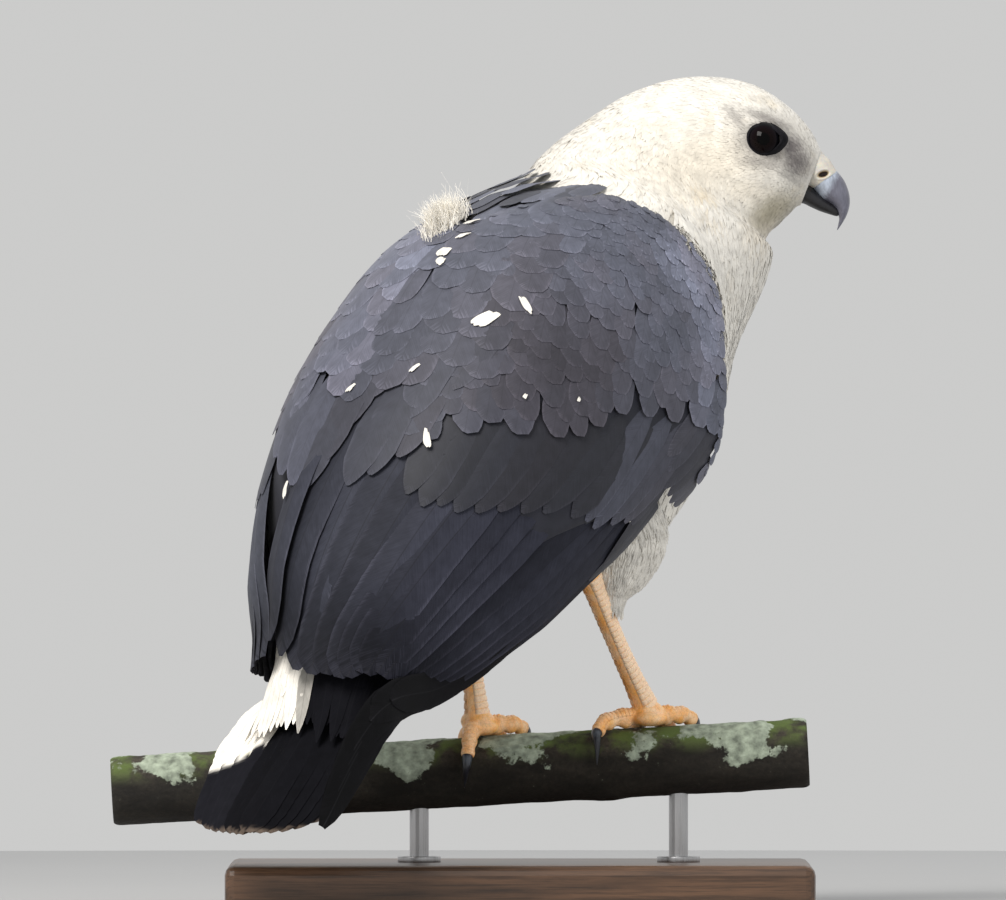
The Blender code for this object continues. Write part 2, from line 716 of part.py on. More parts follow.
def make_tail(finish):
    """The twelve tail feathers fan out from a root under the rump, the middle pair on top."""
    start, end = TAIL_END, 1.15
    angles = np.linspace(0, 2 * math.pi, BODY_SIDES, endpoint=False)
    rings = []
    for step in range(4):
        t = start + (end - start) * step / 3
        centre, up, side, width, back, belly = station(t)
        squash = 1 - 0.8 * (step / 3)
        forward = np.cross(up, side)[0]
        ring = []
        for a in angles:
            depth = (back[0] if math.cos(a) > 0 else belly[0]) * squash * 0.9
            ring.append(centre[0] + side[0] * math.sin(a) * width[0] * (0.96 - 0.3 * step / 3)
                        + up[0] * math.cos(a) * depth - forward * GAP * (1 if step == 0 else 0))
        rings.append(ring)
    tail = loft("tail", rings, finish)
    centre, up, side, *_ = station([1.9, 0.0])
    along = centre[1] - centre[0]
    spread = []
    for k in range(6):
        for hand in (1, -1):
            stack = k + (1 if hand < 0 else 0)
            lane = (k + 0.5) / 5.5 * (0.8 if hand > 0 else -1.0)

            def place(u, c, lane=lane, stack=stack, k=k):
                v = u * (TAIL_REACH - 0.006 * k * k)
                wide = np.interp(v, *zip(*TAIL_SPREAD)) * MM
                middle = centre[0] + along * v + side[0] * (lane * wide + c * 9.0 * MM)
                drop = 1.5 - 1.15 * stack * min(1.0, 0.35 + u)
                return middle + up[0] * drop * MM, up[0]

            spread.append(vane(place, 5))
    join(tail, spread)
    smooth(tail)
    return tail


# Legs

def branch_centre(x):
    return np.array([x, 0.0, BRANCH_HEIGHT + BRANCH_SLOPE * (x - PERCH_X)])


BRANCH_ALONG = np.array([1.0, 0.0, BRANCH_SLOPE]) / math.hypot(1.0, BRANCH_SLOPE)
BRANCH_UP = np.cross(BRANCH_ALONG, np.array([0.0, 1.0, 0.0]))


def on_branch(x, degrees, lift):
    """A point over the branch's surface, at an angle from its top towards the front."""
    turn = math.radians(degrees)
    return branch_centre(x) + (BRANCH_RADIUS + lift) * (
        math.cos(turn) * BRANCH_UP - math.sin(turn) * np.array([0.0, 1.0, 0.0])
    )


# Each toe: millimetres along the branch and degrees from its top to the front, from root to claw,
# then how far the claw reaches on.
TOES = {
    "inner": (((2, -7), (9, -8), (15, -16), (19, -34)), (22, -68)),
    "middle": (((2, -12), (8, -42), (12, -76), (15, -104)), (17, -140)),
    "outer": (((-2, -12), (-5, -44), (-9, -74), (-11, -98)), (-12, -132)),
}
FEET = {
    "right": {"x": 54.0, "hock": (30, -32, 134),
              "hallux": (((-3, 3), (-11, 12), (-18, 26), (-21, 46)), (-22, 90))},
    "left": {"x": -16.5, "hock": (-22, -3, 130),
             "hallux": (((-1, 10), (-3, 32), (-4, 52), (-5, 70)), (-7, 112))},
}
TOE_RADIUS = 3.9 * MM
TOE_TIP_RADIUS = 2.7 * MM


def shank_shape(name, side, swollen, finish=None):
    """The bare leg from its hock to its foot. swollen makes the hollow that its top stands in."""
    ankle = on_branch(FEET[side]["x"] * MM, 0, 7.0 * MM)
    hock = np.array(FEET[side]["hock"]) * MM
    hock = hock + (hock - ankle) / np.linalg.norm(hock - ankle) * swollen
    shank = curve_points([hock, hock + (ankle - hock) * 0.5 + np.array([-0.6, 0, 0]) * MM, ankle], 6)
    radii = np.array([5.6, 4.2, 3.9, 4.0, 4.6, 5.2]) * MM + swollen
    return tube(name, shank, radii, 9, finish, up=np.array([1.0, 0.3, 0.0]))


def make_leg(side, skin_finish, horn):
    x = FEET[side]["x"] * MM
    leg = shank_shape("leg_" + side, side, 0.0, skin_finish)
    pieces = [ellipsoid("pad", on_branch(x, 0, 5.6 * MM), (7.2 * MM, 6.4 * MM, 5.0 * MM), 4, 9)]
    for name, (steps, claw) in {**TOES, "hallux": FEET[side]["hallux"]}.items():
        places = [on_branch(x + along * MM, turn, TOE_RADIUS + 1.2 * GAP) for along, turn in steps]
        path = curve_points(places, 6)
        radii = np.linspace(TOE_RADIUS, TOE_TIP_RADIUS, 6)
        radii[1::2] *= 1.08
        pieces.append(tube("toe", path, radii, 6, up=np.array([0.31, 0.2, 0.93])))
        end = path[-1]
        direction = path[-1] - path[-2]
        direction /= np.linalg.norm(direction)
        tip = on_branch(x + claw[0] * MM, claw[1], 2.0 * MM)
        root = end + direction * 1.6 * GAP
        outward = end - branch_centre(end[0])
        outward /= np.linalg.norm(outward)
        bend = (root + tip) / 2 + outward * 2.2 * MM
        hook = np.vstack([root, curve_points([root + direction * 1.5 * MM, bend, tip], 5)])
        made = tube(f"claw_{side}_{name}", hook, np.array([2.3, 2.3, 2.0, 1.5, 0.9, 0.25]) * MM, 6, horn,
                    up=np.array([0.31, 0.2, 0.93]))
        smooth(made, 60)
    join(leg, pieces)
    smooth(leg)
    return leg


# The loose feathers of the upper leg: millimetres forward of the hock and over it, and radius.
THIGH = ((10, 48, 10), (15, 34, 17), (17.5, 19, 19), (15.5, 6, 15), (12.5, -5, 10), (11.5, -12.5, 3.5))


def make_thigh(side, finish):
    """The feathered upper leg, cut clear of the belly and of the shank that it hangs over."""
    hock = np.array(FEET[side]["hock"]) * MM
    places = [hock + FORWARD * ahead * MM + UP * over * MM for ahead, over, _ in THIGH]
    radii = np.interp(np.linspace(0, len(THIGH) - 1, 9), range(len(THIGH)), [row[2] * MM for row in THIGH])
    thigh = tube("thigh_" + side, curve_points(places, 9), radii, 14, finish, up=FORWARD)
    cut(thigh, flesh("belly", TAIL_END, NECK_START, 13, None, GAP, (0, 0)))
    cut(thigh, shank_shape("shank", side, GAP))
    smooth(thigh)
    return thigh


# Perch and stand

def make_branch(bark):
    rng = random.Random(11)
    sides, steps = 12, 11
    waves = [(rng.uniform(20, 60), rng.uniform(0, 6.28), rng.randint(1, 4)) for _ in range(5)]
    rings = []
    for step in range(steps + 1):
        x = BRANCH_ENDS[0] + (BRANCH_ENDS[1] - BRANCH_ENDS[0]) * step / steps
        ring = []
        for turn in np.linspace(0, 2 * math.pi, sides, endpoint=False):
            rough = sum(math.sin(x * rate + phase + number * turn) for rate, phase, number in waves)
            radius = BRANCH_RADIUS - 0.9 * MM + 0.17 * MM * rough
            out = math.cos(turn) * BRANCH_UP + math.sin(turn) * np.array([0, 1.0, 0])
            ring.append(branch_centre(x) + radius * out)
        rings.append(ring)
    branch = loft("perch_branch", rings, bark)
    for place in ROD_PLACES:
        cut(branch, rod_shape("rod_hole", place, GAP))
    smooth(branch)
    return branch


def rod_shape(name, x, swell, finish=None):
    """A short upright rod from the base up into the branch. swell makes the hole that it stands in."""
    low = BASE_SIZE[2] + GAP - swell
    high = branch_centre(x)[2] - 2 * MM + swell
    rings = []
    for height in (low, high):
        rings.append(
            [(x + (ROD_RADIUS + swell) * math.cos(a), (ROD_RADIUS + swell) * math.sin(a), height)
             for a in np.linspace(0, 2 * math.pi, 16, endpoint=False)]
        )
    return loft(name, rings, finish)


def make_stand(wood, metal):
    length, width, height = BASE_SIZE
    bpy.ops.mesh.primitive_cube_add(size=1, location=(0, 0, height / 2))
    base = bpy.context.object
    base.name = "stand_base"
    base.scale = (length, width, height)
    bpy.ops.object.transform_apply(location=False, rotation=False, scale=True)
    bevel = base.modifiers.new("edge", "BEVEL")
    bevel.width = BASE_EDGE
    bevel.segments = 3
    base.data.materials.append(wood)
    for number, place in enumerate(ROD_PLACES, 1):
        smooth(rod_shape(f"stand_rod_{number}", place, 0.0, metal))


def main():
    clear_scene()
    rng = random.Random(8)
    white = material("white feathers", (0.78, 0.74, 0.67), 0.9)
    slate = material("slate feathers", (0.075, 0.08, 0.095), 0.75)
    black = material("black and white tail feathers", (0.03, 0.03, 0.035), 0.7)
    horn = material("bill and claw horn", (0.03, 0.035, 0.045), 0.35)
    cere_skin = material("cere skin", (0.62, 0.58, 0.42), 0.5)
    eye = material("dark brown eye", (0.012, 0.006, 0.006), 0.08)
    leg_skin = material("orange leg scales", (0.62, 0.24, 0.05), 0.55)
    bark = material("lichened bark", (0.09, 0.08, 0.06), 0.95)
    wood = material("dark stained wood", (0.05, 0.028, 0.016), 0.4)
    metal = material("brushed steel", (0.55, 0.55, 0.56), 0.3, 1.0)

    smooth(flesh("torso", TAIL_END, NECK_START, 13, white))
    smooth(flesh("neck", NECK_START, HEAD_START, 5, white))
    make_head(white)
    make_eyes(eye)
    make_bill(horn, cere_skin)
    make_wing("wing_right", 1, slate, rng)
    make_wing("wing_left", -1, slate, rng)
    make_tail(black)
    for side in FEET:
        make_leg(side, leg_skin, horn)
        make_thigh(side, white)
    make_branch(bark)
    make_stand(wood, metal)


main()
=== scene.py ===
"""The looks of a white-necked hawk on its perch and stand, laid out as an add-on and run as a script.

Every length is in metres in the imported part's frame, with +Z up. The body's surface is read at a
station, from 2 at the tail's root to 18 at the face, and an angle from the middle of the back.
"""

import math

import bmesh
import bpy
import numpy as np
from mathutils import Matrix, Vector, noise


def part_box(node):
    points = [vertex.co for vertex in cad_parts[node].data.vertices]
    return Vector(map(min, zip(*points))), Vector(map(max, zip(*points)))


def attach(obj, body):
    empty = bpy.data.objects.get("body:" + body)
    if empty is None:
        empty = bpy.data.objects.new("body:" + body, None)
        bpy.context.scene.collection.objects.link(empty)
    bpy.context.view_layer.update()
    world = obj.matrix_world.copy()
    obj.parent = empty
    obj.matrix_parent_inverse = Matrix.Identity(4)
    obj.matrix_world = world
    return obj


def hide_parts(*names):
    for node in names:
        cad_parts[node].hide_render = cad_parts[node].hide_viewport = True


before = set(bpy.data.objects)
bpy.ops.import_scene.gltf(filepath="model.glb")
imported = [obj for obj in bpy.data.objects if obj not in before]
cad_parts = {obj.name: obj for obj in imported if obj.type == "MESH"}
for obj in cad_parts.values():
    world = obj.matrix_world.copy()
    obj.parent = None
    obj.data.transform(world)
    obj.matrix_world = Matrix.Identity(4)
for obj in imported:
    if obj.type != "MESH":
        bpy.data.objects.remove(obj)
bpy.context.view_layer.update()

bl_info = {
    "name": "White-necked hawk",
    "version": (1, 0, 0),
    "blender": (4, 5, 0),
    "location": "3D View > Sidebar > Hawk",
    "description": "Dresses the packed hawk with skin, feathers, eyes, bill, scaled feet, bark and a stand",
    "category": "Object",
}

MM = 0.001
GAP = 0.3 * MM


# Sizes and colours that a user may change

def colour(name, description, *default):
    return bpy.props.FloatVectorProperty(name=name, description=description, subtype="COLOR", default=default)


def length(name, description, default, least=0.0):
    return bpy.props.FloatProperty(
        name=name, description=description, default=default, min=least, precision=5, unit="LENGTH")


def power(name, description, default):
    return bpy.props.FloatProperty(name=name, description=description, default=default, unit="POWER")


class CoatSizes(bpy.types.PropertyGroup):
    head_spacing: length("Head spacing", "Distance between the feathers of the head", 1.75 * MM, 1.2 * MM)
    neck_spacing: length("Neck spacing", "Distance between the feathers of the neck", 2.6 * MM, 1.8 * MM)
    body_spacing: length("Body spacing", "Distance between the feathers below", 3.9 * MM, 2.8 * MM)
    vane_thickness: length("Vane thickness", "Thickness of a large feather at its shaft", 0.55 * MM, 0.2 * MM)
    seed: bpy.props.IntProperty(name="Seed", description="Picks the small random differences", default=8)


class CoatColours(bpy.types.PropertyGroup):
    white: colour("White", "Head, neck and underparts", 0.70, 0.67, 0.61)
    cream: colour("Cream", "Mottling of the white feathers", 0.66, 0.58, 0.45)
    face_grey: colour("Face grey", "Round the eye and before it", 0.15, 0.135, 0.13)
    slate: colour("Slate", "Back and wing coverts", 0.07, 0.075, 0.10)
    slate_dark: colour("Dark slate", "Flight feathers", 0.024, 0.025, 0.036)
    black: colour("Black", "Wing tips and the dark of the tail", 0.006, 0.006, 0.008)
    worn_tip: colour("Worn tip", "Pale worn ends of the tail feathers", 0.15, 0.115, 0.09)


class BareColours(bpy.types.PropertyGroup):
    eye: colour("Eye", "Iris", 0.0035, 0.0018, 0.0018)
    cere: colour("Cere", "Skin over the bill's root", 0.60, 0.56, 0.47)
    bill: colour("Bill", "Upper bill", 0.13, 0.13, 0.165)
    bill_pale: colour("Pale bill", "The upper bill's root", 0.36, 0.40, 0.47)
    leg: colour("Leg", "Scales of the leg and toes", 1.0, 0.46, 0.12)
    leg_pale: colour("Pale leg", "Worn faces of the scales", 1.0, 0.76, 0.54)
    claw: colour("Claw", "Claws", 0.012, 0.014, 0.02)
    bark: colour("Bark", "Bark of the perch", 0.022, 0.018, 0.013)
    lichen: colour("Lichen", "Lichen on top of the perch", 0.34, 0.39, 0.30)
    moss: colour("Moss", "Moss between the lichen", 0.085, 0.12, 0.03)
    stand_wood: colour("Stand wood", "Base of the stand", 0.085, 0.043, 0.022)
    stand_metal: colour("Stand metal", "Rods of the stand", 0.56, 0.56, 0.57)


class StageSettings(bpy.types.PropertyGroup):
    distance: length("Camera distance", "From the camera to the hawk", 10.0)
    view_width: length("View width", "Width of the picture at the hawk", 0.41917)
    view_centre: bpy.props.FloatVectorProperty(
        name="View centre", description="Where the camera looks", default=(-0.0071, 0.0, 0.1897), precision=4,
        subtype="TRANSLATION")
    key_power: power("Key light", "Power of the large light over the left", 61.0)
    fill_power: power("Fill light", "Power of the light on the right", 17.0)
    rim_power: power("Rim light", "Power of the light behind", 16.0)
    floor: colour("Floor", "Floor", 0.36, 0.36, 0.36)


# The body's surface, from the same stations as the solids

HEADING = math.radians(44)
FORWARD = np.array([math.sin(HEADING), math.cos(HEADING), 0.0])
RIGHT = np.array([math.cos(HEADING), -math.sin(HEADING), 0.0])
UP = np.array([0.0, 0.0, 1.0])
PERCH_X = 17.9 * MM
PERCH = np.array([PERCH_X, 0.0, 0.0])

# Forward of the perch, height, pitch, half width, depth to the back and the belly, wing's depth.
BODY_ROWS = (
    (-184, 38, 52, 40, 3, 3, 2),
    (-160, 66, 52, 36, 8, 6, 4),
    (-138, 92, 52, 30, 19, 14, 10),
    (-118, 116, 52, 42, 34, 25, 14),
    (-94, 144, 51, 54, 47, 38, 16),
    (-66, 174, 49, 63, 59, 51, 15),
    (-38, 200, 48, 66, 67, 58, 13),
    (-12, 223, 47, 66, 70, 61, 11),
    (14, 246, 47, 61, 64, 60, 8.5),
    (37, 268, 48, 52, 54, 54, 6),
)
# The top and the bottom in X and Z, heading, Y and half width.
NECK_ROWS = (
    ((15.0, 313.8), (98.5, 266.0), 62, 40, 46),
    ((28.3, 327.2), (101.0, 275.0), 76, 46, 38.5),
    ((45.0, 338.4), (103.8, 280.0), 86, 49, 31.5),
    ((63.3, 344.7), (108.3, 284.0), 90, 50, 27.5),
    ((80.8, 345.9), (110.4, 286.3), 90, 50, 25.5),
    ((96.7, 343.0), (112.4, 288.2), 90, 50, 23.2),
    ((109.6, 335.7), (113.8, 289.6), 90, 50, 19.5),
    ((119.6, 326.3), (115.4, 291.2), 90, 50, 15.0),
    ((126.3, 315.0), (117.4, 292.0), 90, 50, 10.0),
)
HEAD_MIDPLANE = 50 * MM
TAIL_END, HEAD_START, HEAD_END = 2, 12, 18
ROUNDNESS = 2.25
BELLY_SWELL = ((2.0, 0), (3.0, 1), (4.0, 3), (5.0, 11), (6.0, 19), (7.0, 15), (8.0, 9), (9.0, 4), (10.0, 0))
BELLY_FROM, BELLY_FULL = 139.0, 155.0
BEND_SWELL = ((4.6, 0), (5.6, 2), (6.4, 5.5), (7.0, 7), (7.7, 6.5), (8.4, 4), (9.0, 1), (9.6, 0))
BEND_FROM, BEND_FULL = 88.0, 126.0
EYE_X, EYE_Z = 101.6, 319.6
EYE_RADIUS = 7.4 * MM
EYE_SINK = 3.4 * MM


def body_stations():
    """Each station as one row: centre, up, right, half width, depth to the back and to the belly."""
    rows = []
    for forward, height, pitch, width, back, belly, _ in BODY_ROWS:
        pitch = math.radians(pitch)
        centre = PERCH + FORWARD * forward * MM + UP * height * MM
        up = math.cos(pitch) * UP - math.sin(pitch) * FORWARD
        rows.append([*centre, *up, *RIGHT, width * MM, back * MM, belly * MM])
    for top, bottom, heading, depth, width in NECK_ROWS:
        heading = math.radians(heading)
        run = (top[0] - bottom[0]) / 2
        up = np.array([run, run / math.tan(heading), (top[1] - bottom[1]) / 2]) * MM
        half = np.linalg.norm(up)
        centre = np.array([(top[0] + bottom[0]) / 2, depth, (top[1] + bottom[1]) / 2]) * MM
        side = np.array([math.cos(heading), -math.sin(heading), 0.0])
        rows.append([*centre, *(up / half), *side, width * MM, half, half])
    return np.array(rows)


STATIONS = body_stations()
WING_DEPTHS = np.array([row[6] for row in BODY_ROWS] + [4.0] * len(NECK_ROWS)) * MM


def full_turn(count):
    return np.linspace(0, 2 * math.pi, count, endpoint=False)


def unit(vectors):
    return vectors / np.maximum(np.linalg.norm(vectors, axis=-1, keepdims=True), 1e-9)


def table(at, rows):
    """Reads a table of two columns at the places given."""
    return np.interp(at, *zip(*rows))


def soft(x, low, high):
    """A smooth step from 0 at low to 1 at high."""
    part = np.clip((x - low) / (high - low), 0, 1)
    return part * part * (3 - 2 * part)


def station(t):
    """The smooth curve through the stations, read at the numbers t."""
    t = np.atleast_1d(np.asarray(t, float))
    whole = np.clip(np.floor(t).astype(int), 0, len(STATIONS) - 2)
    part = (t - whole)[:, None]
    first, second = STATIONS[whole], STATIONS[whole + 1]
    before = np.where(whole[:, None] > 0, STATIONS[np.maximum(whole - 1, 0)], 2 * first - second)
    last = np.minimum(whole + 2, len(STATIONS) - 1)
    after = np.where(whole[:, None] + 2 < len(STATIONS), STATIONS[last], 2 * second - first)
    row = 0.5 * (
        2 * first
        + (second - before) * part
        + (2 * before - 5 * first + 4 * second - after) * part**2
        + (3 * first - before - 3 * second + after) * part**3
    )
    up = unit(row[:, 3:6])
    side = row[:, 6:9]
    side = unit(side - (side * up).sum(1, keepdims=True) * up)
    return row[:, 0:3], up, side, row[:, 9], row[:, 10], row[:, 11]


def face_relief(x, z):
    """How far the brow, the eye's hollow, the lores and the cheek stand off the plain head, in metres."""
    ahead, over = x / MM - EYE_X, z / MM - EYE_Z
    brow = 1.7 * np.exp(-(((over - 7.4 + 0.022 * (ahead - 1) ** 2) / 1.9) ** 2) - ((ahead - 3) / 9.5) ** 2)
    hollow = -1.0 * np.exp(-(ahead**2 + over**2) / 70)
    lores = -1.1 * np.exp(-(((ahead - 12) / 5.5) ** 2) - ((over + 4) / 4.5) ** 2)
    cheek = 0.9 * np.exp(-(((ahead + 4) / 9) ** 2) - ((over + 15) / 6) ** 2)
    return (brow + hollow + lores + cheek) * MM


def skin(t, angle, lift=0.0, over_wing=0.0):
    """Points of the body at stations t and angles from the back (0) over the right side (90 degrees).

    lift raises them, and over_wing of 1 puts them on the outer face of the folded wing.
    """
    t, angle, lift, over_wing = np.broadcast_arrays(
        *(np.asarray(value, float) for value in (t, angle, lift, over_wing)))
    shape = t.shape
    t, angle, lift, over_wing = t.ravel(), angle.ravel(), lift.ravel(), over_wing.ravel()
    centre, up, side, width, back, belly = station(t)
    turned = np.degrees(np.abs((angle + math.pi) % (2 * math.pi) - math.pi))
    lift = lift + table(t, BELLY_SWELL) * MM * soft(turned, BELLY_FROM, BELLY_FULL)
    bend = table(t, BEND_SWELL) * MM * soft(turned, BEND_FROM, BEND_FULL)
    lift = lift + over_wing * (bend + np.interp(t, np.arange(len(WING_DEPTHS)), WING_DEPTHS))
    across = np.sign(np.sin(angle)) * np.abs(np.sin(angle)) ** (2 / ROUNDNESS)
    along = np.sign(np.cos(angle)) * np.abs(np.cos(angle)) ** (2 / ROUNDNESS)
    depth = np.where(along > 0, back, belly)
    point = centre + side * ((width + lift) * across)[:, None] + up * ((depth + lift) * along)[:, None]
    relief = face_relief(point[:, 0], point[:, 2]) * soft(t, 11.5, 13.0) * across
    return (point + side * relief[:, None]).reshape(shape + (3,))


def metric(t, angle, over_wing=0.0):
    """Metres on the surface for each station, and for each radian, at the places given."""
    step = 0.02
    along = skin(t + step, angle, 0, over_wing) - skin(t - step, angle, 0, over_wing)
    around = skin(t, angle + step, 0, over_wing) - skin(t, angle - step, 0, over_wing)
    scale = 1 / (2 * step)
    return (np.maximum(np.linalg.norm(along, axis=-1) * scale, 1.5 * MM),
            np.maximum(np.linalg.norm(around, axis=-1) * scale, 4 * MM))


def head_side(x, z):
    """The head's half width at a point of its profile, from the nearest place on the skin."""
    t, angle = np.meshgrid(np.linspace(HEAD_START - 1, HEAD_END, 160), np.linspace(0.1, 3.0, 160))
    place = skin(t, angle)
    miss = (place[..., 0] - x) ** 2 + (place[..., 2] - z) ** 2
    nearest = np.unravel_index(np.argmin(miss), miss.shape)
    return HEAD_MIDPLANE - place[nearest][1]


def read(at, places, points):
    """Points along a path, read at distances along it."""
    return np.stack([np.interp(at, places, points[:, axis]) for axis in range(3)], -1)


def curve_points(points, count):
    """A smooth curve through a few points, read at count places."""
    points = np.asarray(points, float)
    ends = np.vstack([2 * points[0] - points[1], points, 2 * points[-1] - points[-2]])
    place = np.linspace(0, len(points) - 1, count)
    whole = np.minimum(place.astype(int), len(points) - 2)
    part = (place - whole).reshape(-1, *[1] * (points.ndim - 1))
    p0, p1, p2, p3 = (ends[whole + step] for step in range(4))
    return 0.5 * (2 * p1 + (p2 - p0) * part + (2 * p0 - 5 * p1 + 4 * p2 - p3) * part**2
                  + (3 * p1 - p0 - 3 * p2 + p3) * part**3)


def patches(points, scale, seed):
    """Smooth noise of 0 to 1 at each point, in patches of about the scale."""
    shift = Vector((seed * 3.7, seed * 1.3, seed * 2.1))
    flat = np.asarray(points, float).reshape(-1, 3) / scale
    return np.array([0.5 + 0.5 * noise.noise(Vector(point) + shift) for point in flat])


# Meshes from rings of points

def new_object(name, points, faces, finish=None, uv=None, vane=None, share=None, tint=None):
    """A mesh object at the origin. faces is a list of arrays, one row for each face.

    For each point, uv is the baking map, vane the millimetres across and along a feather, share the
    same from -1 to 1 and from 0 to 1, and tint its colour.
    """
    mesh = bpy.data.meshes.new(name)
    corners = np.concatenate([rows.ravel() for rows in faces]).astype(np.int32)
    counts = np.concatenate([np.full(len(rows), rows.shape[1]) for rows in faces]).astype(np.int32)
    mesh.vertices.add(len(points))
    mesh.vertices.foreach_set("co", np.asarray(points, np.float32).ravel())
    mesh.loops.add(len(corners))
    mesh.loops.foreach_set("vertex_index", corners)
    mesh.polygons.add(len(counts))
    mesh.polygons.foreach_set("loop_start", (np.cumsum(counts) - counts).astype(np.int32))
    mesh.polygons.foreach_set("loop_total", counts)
    mesh.update(calc_edges=True)
    for name_of_map, values in (("OFBake", uv), ("Vane", vane), ("Share", share)):
        if values is not None:
            layer = mesh.uv_layers.new(name=name_of_map)
            layer.data.foreach_set("uv", np.asarray(values, np.float32)[corners].ravel())
    if tint is not None:
        layer = mesh.attributes.new("tint", "FLOAT_COLOR", "POINT")
        full = np.concatenate([np.clip(tint, 0, 1), np.ones((len(tint), 1))], 1)
        layer.data.foreach_set("color", full.astype(np.float32).ravel())
    mesh.shade_smooth()
    made = bpy.data.objects.new(name, mesh)
    bpy.context.scene.collection.objects.link(made)
    if finish:
        mesh.materials.append(finish)
    return made


def outward(made, merge=0.0):
    """Turns a closed mesh's faces outwards, after its doubles are merged."""
    form = bmesh.new()
    form.from_mesh(made.data)
    if merge:
        bmesh.ops.remove_doubles(form, verts=form.verts, dist=merge)
    bmesh.ops.recalc_face_normals(form, faces=form.faces)
    if form.calc_volume(signed=True) < 0:
        bmesh.ops.reverse_faces(form, faces=form.faces)
    form.to_mesh(made.data)
    form.free()
    return made


def close_seam(made, period):
    """Moves the corners of the faces that cross the baking map's seam to its far side."""
    layer = made.data.uv_layers["OFBake"]
    found = np.zeros(len(layer.data) * 2, np.float32)
    layer.data.foreach_get("uv", found)
    for face in made.data.polygons:
        if face.loop_total == 4:
            across = found[2 * face.loop_start:2 * (face.loop_start + 4):2]
            if np.ptp(across) > period / 2:
                across[across < across.min() + period / 2] += period
    layer.data.foreach_set("uv", found)
    return made


def ring_faces(rings, sides, closed=False):
    """The quads between rings of points that follow one another, and the two end faces."""
    ring = np.arange(rings if closed else rings - 1)[:, None]
    side = np.arange(sides)[None, :]
    after, ahead = (side + 1) % sides, (ring + 1) % rings
    this, following = ring * sides, ahead * sides
    quads = np.stack([this + side, this + after, following + after, following + side], -1)
    ends = [] if closed else [np.arange(sides)[None, ::-1], (rings - 1) * sides + np.arange(sides)[None, :]]
    return [quads.reshape(-1, 4), *ends]


def loft(name, rings, finish=None, closed=False, **maps):
    """A closed body through rings of points."""
    rings = np.asarray(rings, float)
    faces = ring_faces(*rings.shape[:2], closed)
    return outward(new_object(name, rings.reshape(-1, 3), faces, finish, **maps))


def tube_rings(path, radii, sides, up=UP, flat=1.0):
    """Rings round a path, squashed by flat along the direction up."""
    path = np.asarray(path, float)
    ahead = unit(np.gradient(path, axis=0))
    across = unit(np.cross(ahead, up))
    over = np.cross(across, ahead)
    turn = full_turn(sides)
    radii = np.asarray(radii, float).reshape(-1, 1, 1)
    return path[:, None] + radii * (np.cos(turn)[None, :, None] * across[:, None]
                                    + flat * np.sin(turn)[None, :, None] * over[:, None])


def select_only(*objects):
    bpy.ops.object.select_all(action="DESELECT")
    for made in objects:
        made.select_set(True)
    bpy.context.view_layer.objects.active = objects[0]


def join(first, *others):
    """Joins the other objects into the first."""
    select_only(first, *others)
    bpy.ops.object.join()
    return first


def settle(made, name):
    """Names a piece modelled by operators and puts its place into its mesh."""
    select_only(made)
    bpy.ops.object.transform_apply(location=True, rotation=True, scale=True)
    made.name = made.data.name = name
    return made


def primitive(kind, name, **settings):
    """A piece that starts as a primitive, with its place put into its mesh."""
    bpy.ops.object.select_all(action="DESELECT")
    getattr(bpy.ops.mesh, f"primitive_{kind}_add")(**settings)
    return settle(bpy.context.object, name)


def coat_settings(context):
    return context.scene.hawk_coat_sizes, context.scene.hawk_coat_colours


def show(made, slot_name, *nodes):
    """Hangs a finished piece on the frame, in place of the CAD nodes named."""
    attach(made, "root")
    if nodes:
        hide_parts(*nodes)
    return made


# Feathers

# Across a vane, in shares of its half width and of its thickness.
CUTS = {
    3: ((-1, 0, 1), (0, 1, 0)),
    4: ((-1, 0, 1, 0), (0, 1, 0, -0.6)),
    8: ((-1, -0.6, -0.2, 0.2, 0.6, 1, 0.4, -0.4), (0, 0.7, 1, 1, 0.7, 0, -0.6, -0.6)),
    10: ((-1, -0.6, -0.12, 0, 0.12, 0.6, 1, 0.5, 0, -0.5),
         (0, 0.55, 0.75, 1.15, 0.75, 0.55, 0, -0.5, -0.8, -0.5)),
}


def lancet(u):
    """A narrow pointed feather's half width along it."""
    return np.interp(u, (0, 0.35, 0.75, 0.92, 1), (0.55, 0.95, 0.8, 0.45, 0.07))


def rounded(u):
    """A covert's half width along it."""
    return np.interp(u, (0, 0.25, 0.6, 0.8, 0.9, 0.96, 1), (0.55, 0.82, 1, 0.93, 0.76, 0.53, 0.16))


def broad(u):
    """A long covert's half width along it."""
    return np.interp(u, (0, 0.1, 0.5, 0.86, 0.93, 0.98, 1), (0.5, 0.8, 1, 0.95, 0.8, 0.5, 0.18))


def leaf(u):
    """A long covert's half width where its end is drawn out."""
    return np.interp(u, (0, 0.12, 0.5, 0.78, 0.9, 0.97, 1), (0.5, 0.82, 1, 0.84, 0.56, 0.28, 0.1))


def quill(u):
    """A flight or tail feather's half width along it."""
    return np.interp(u, (0, 0.15, 0.4, 0.86, 0.94, 0.98, 1), (0.4, 0.8, 0.96, 1, 0.82, 0.5, 0.2))


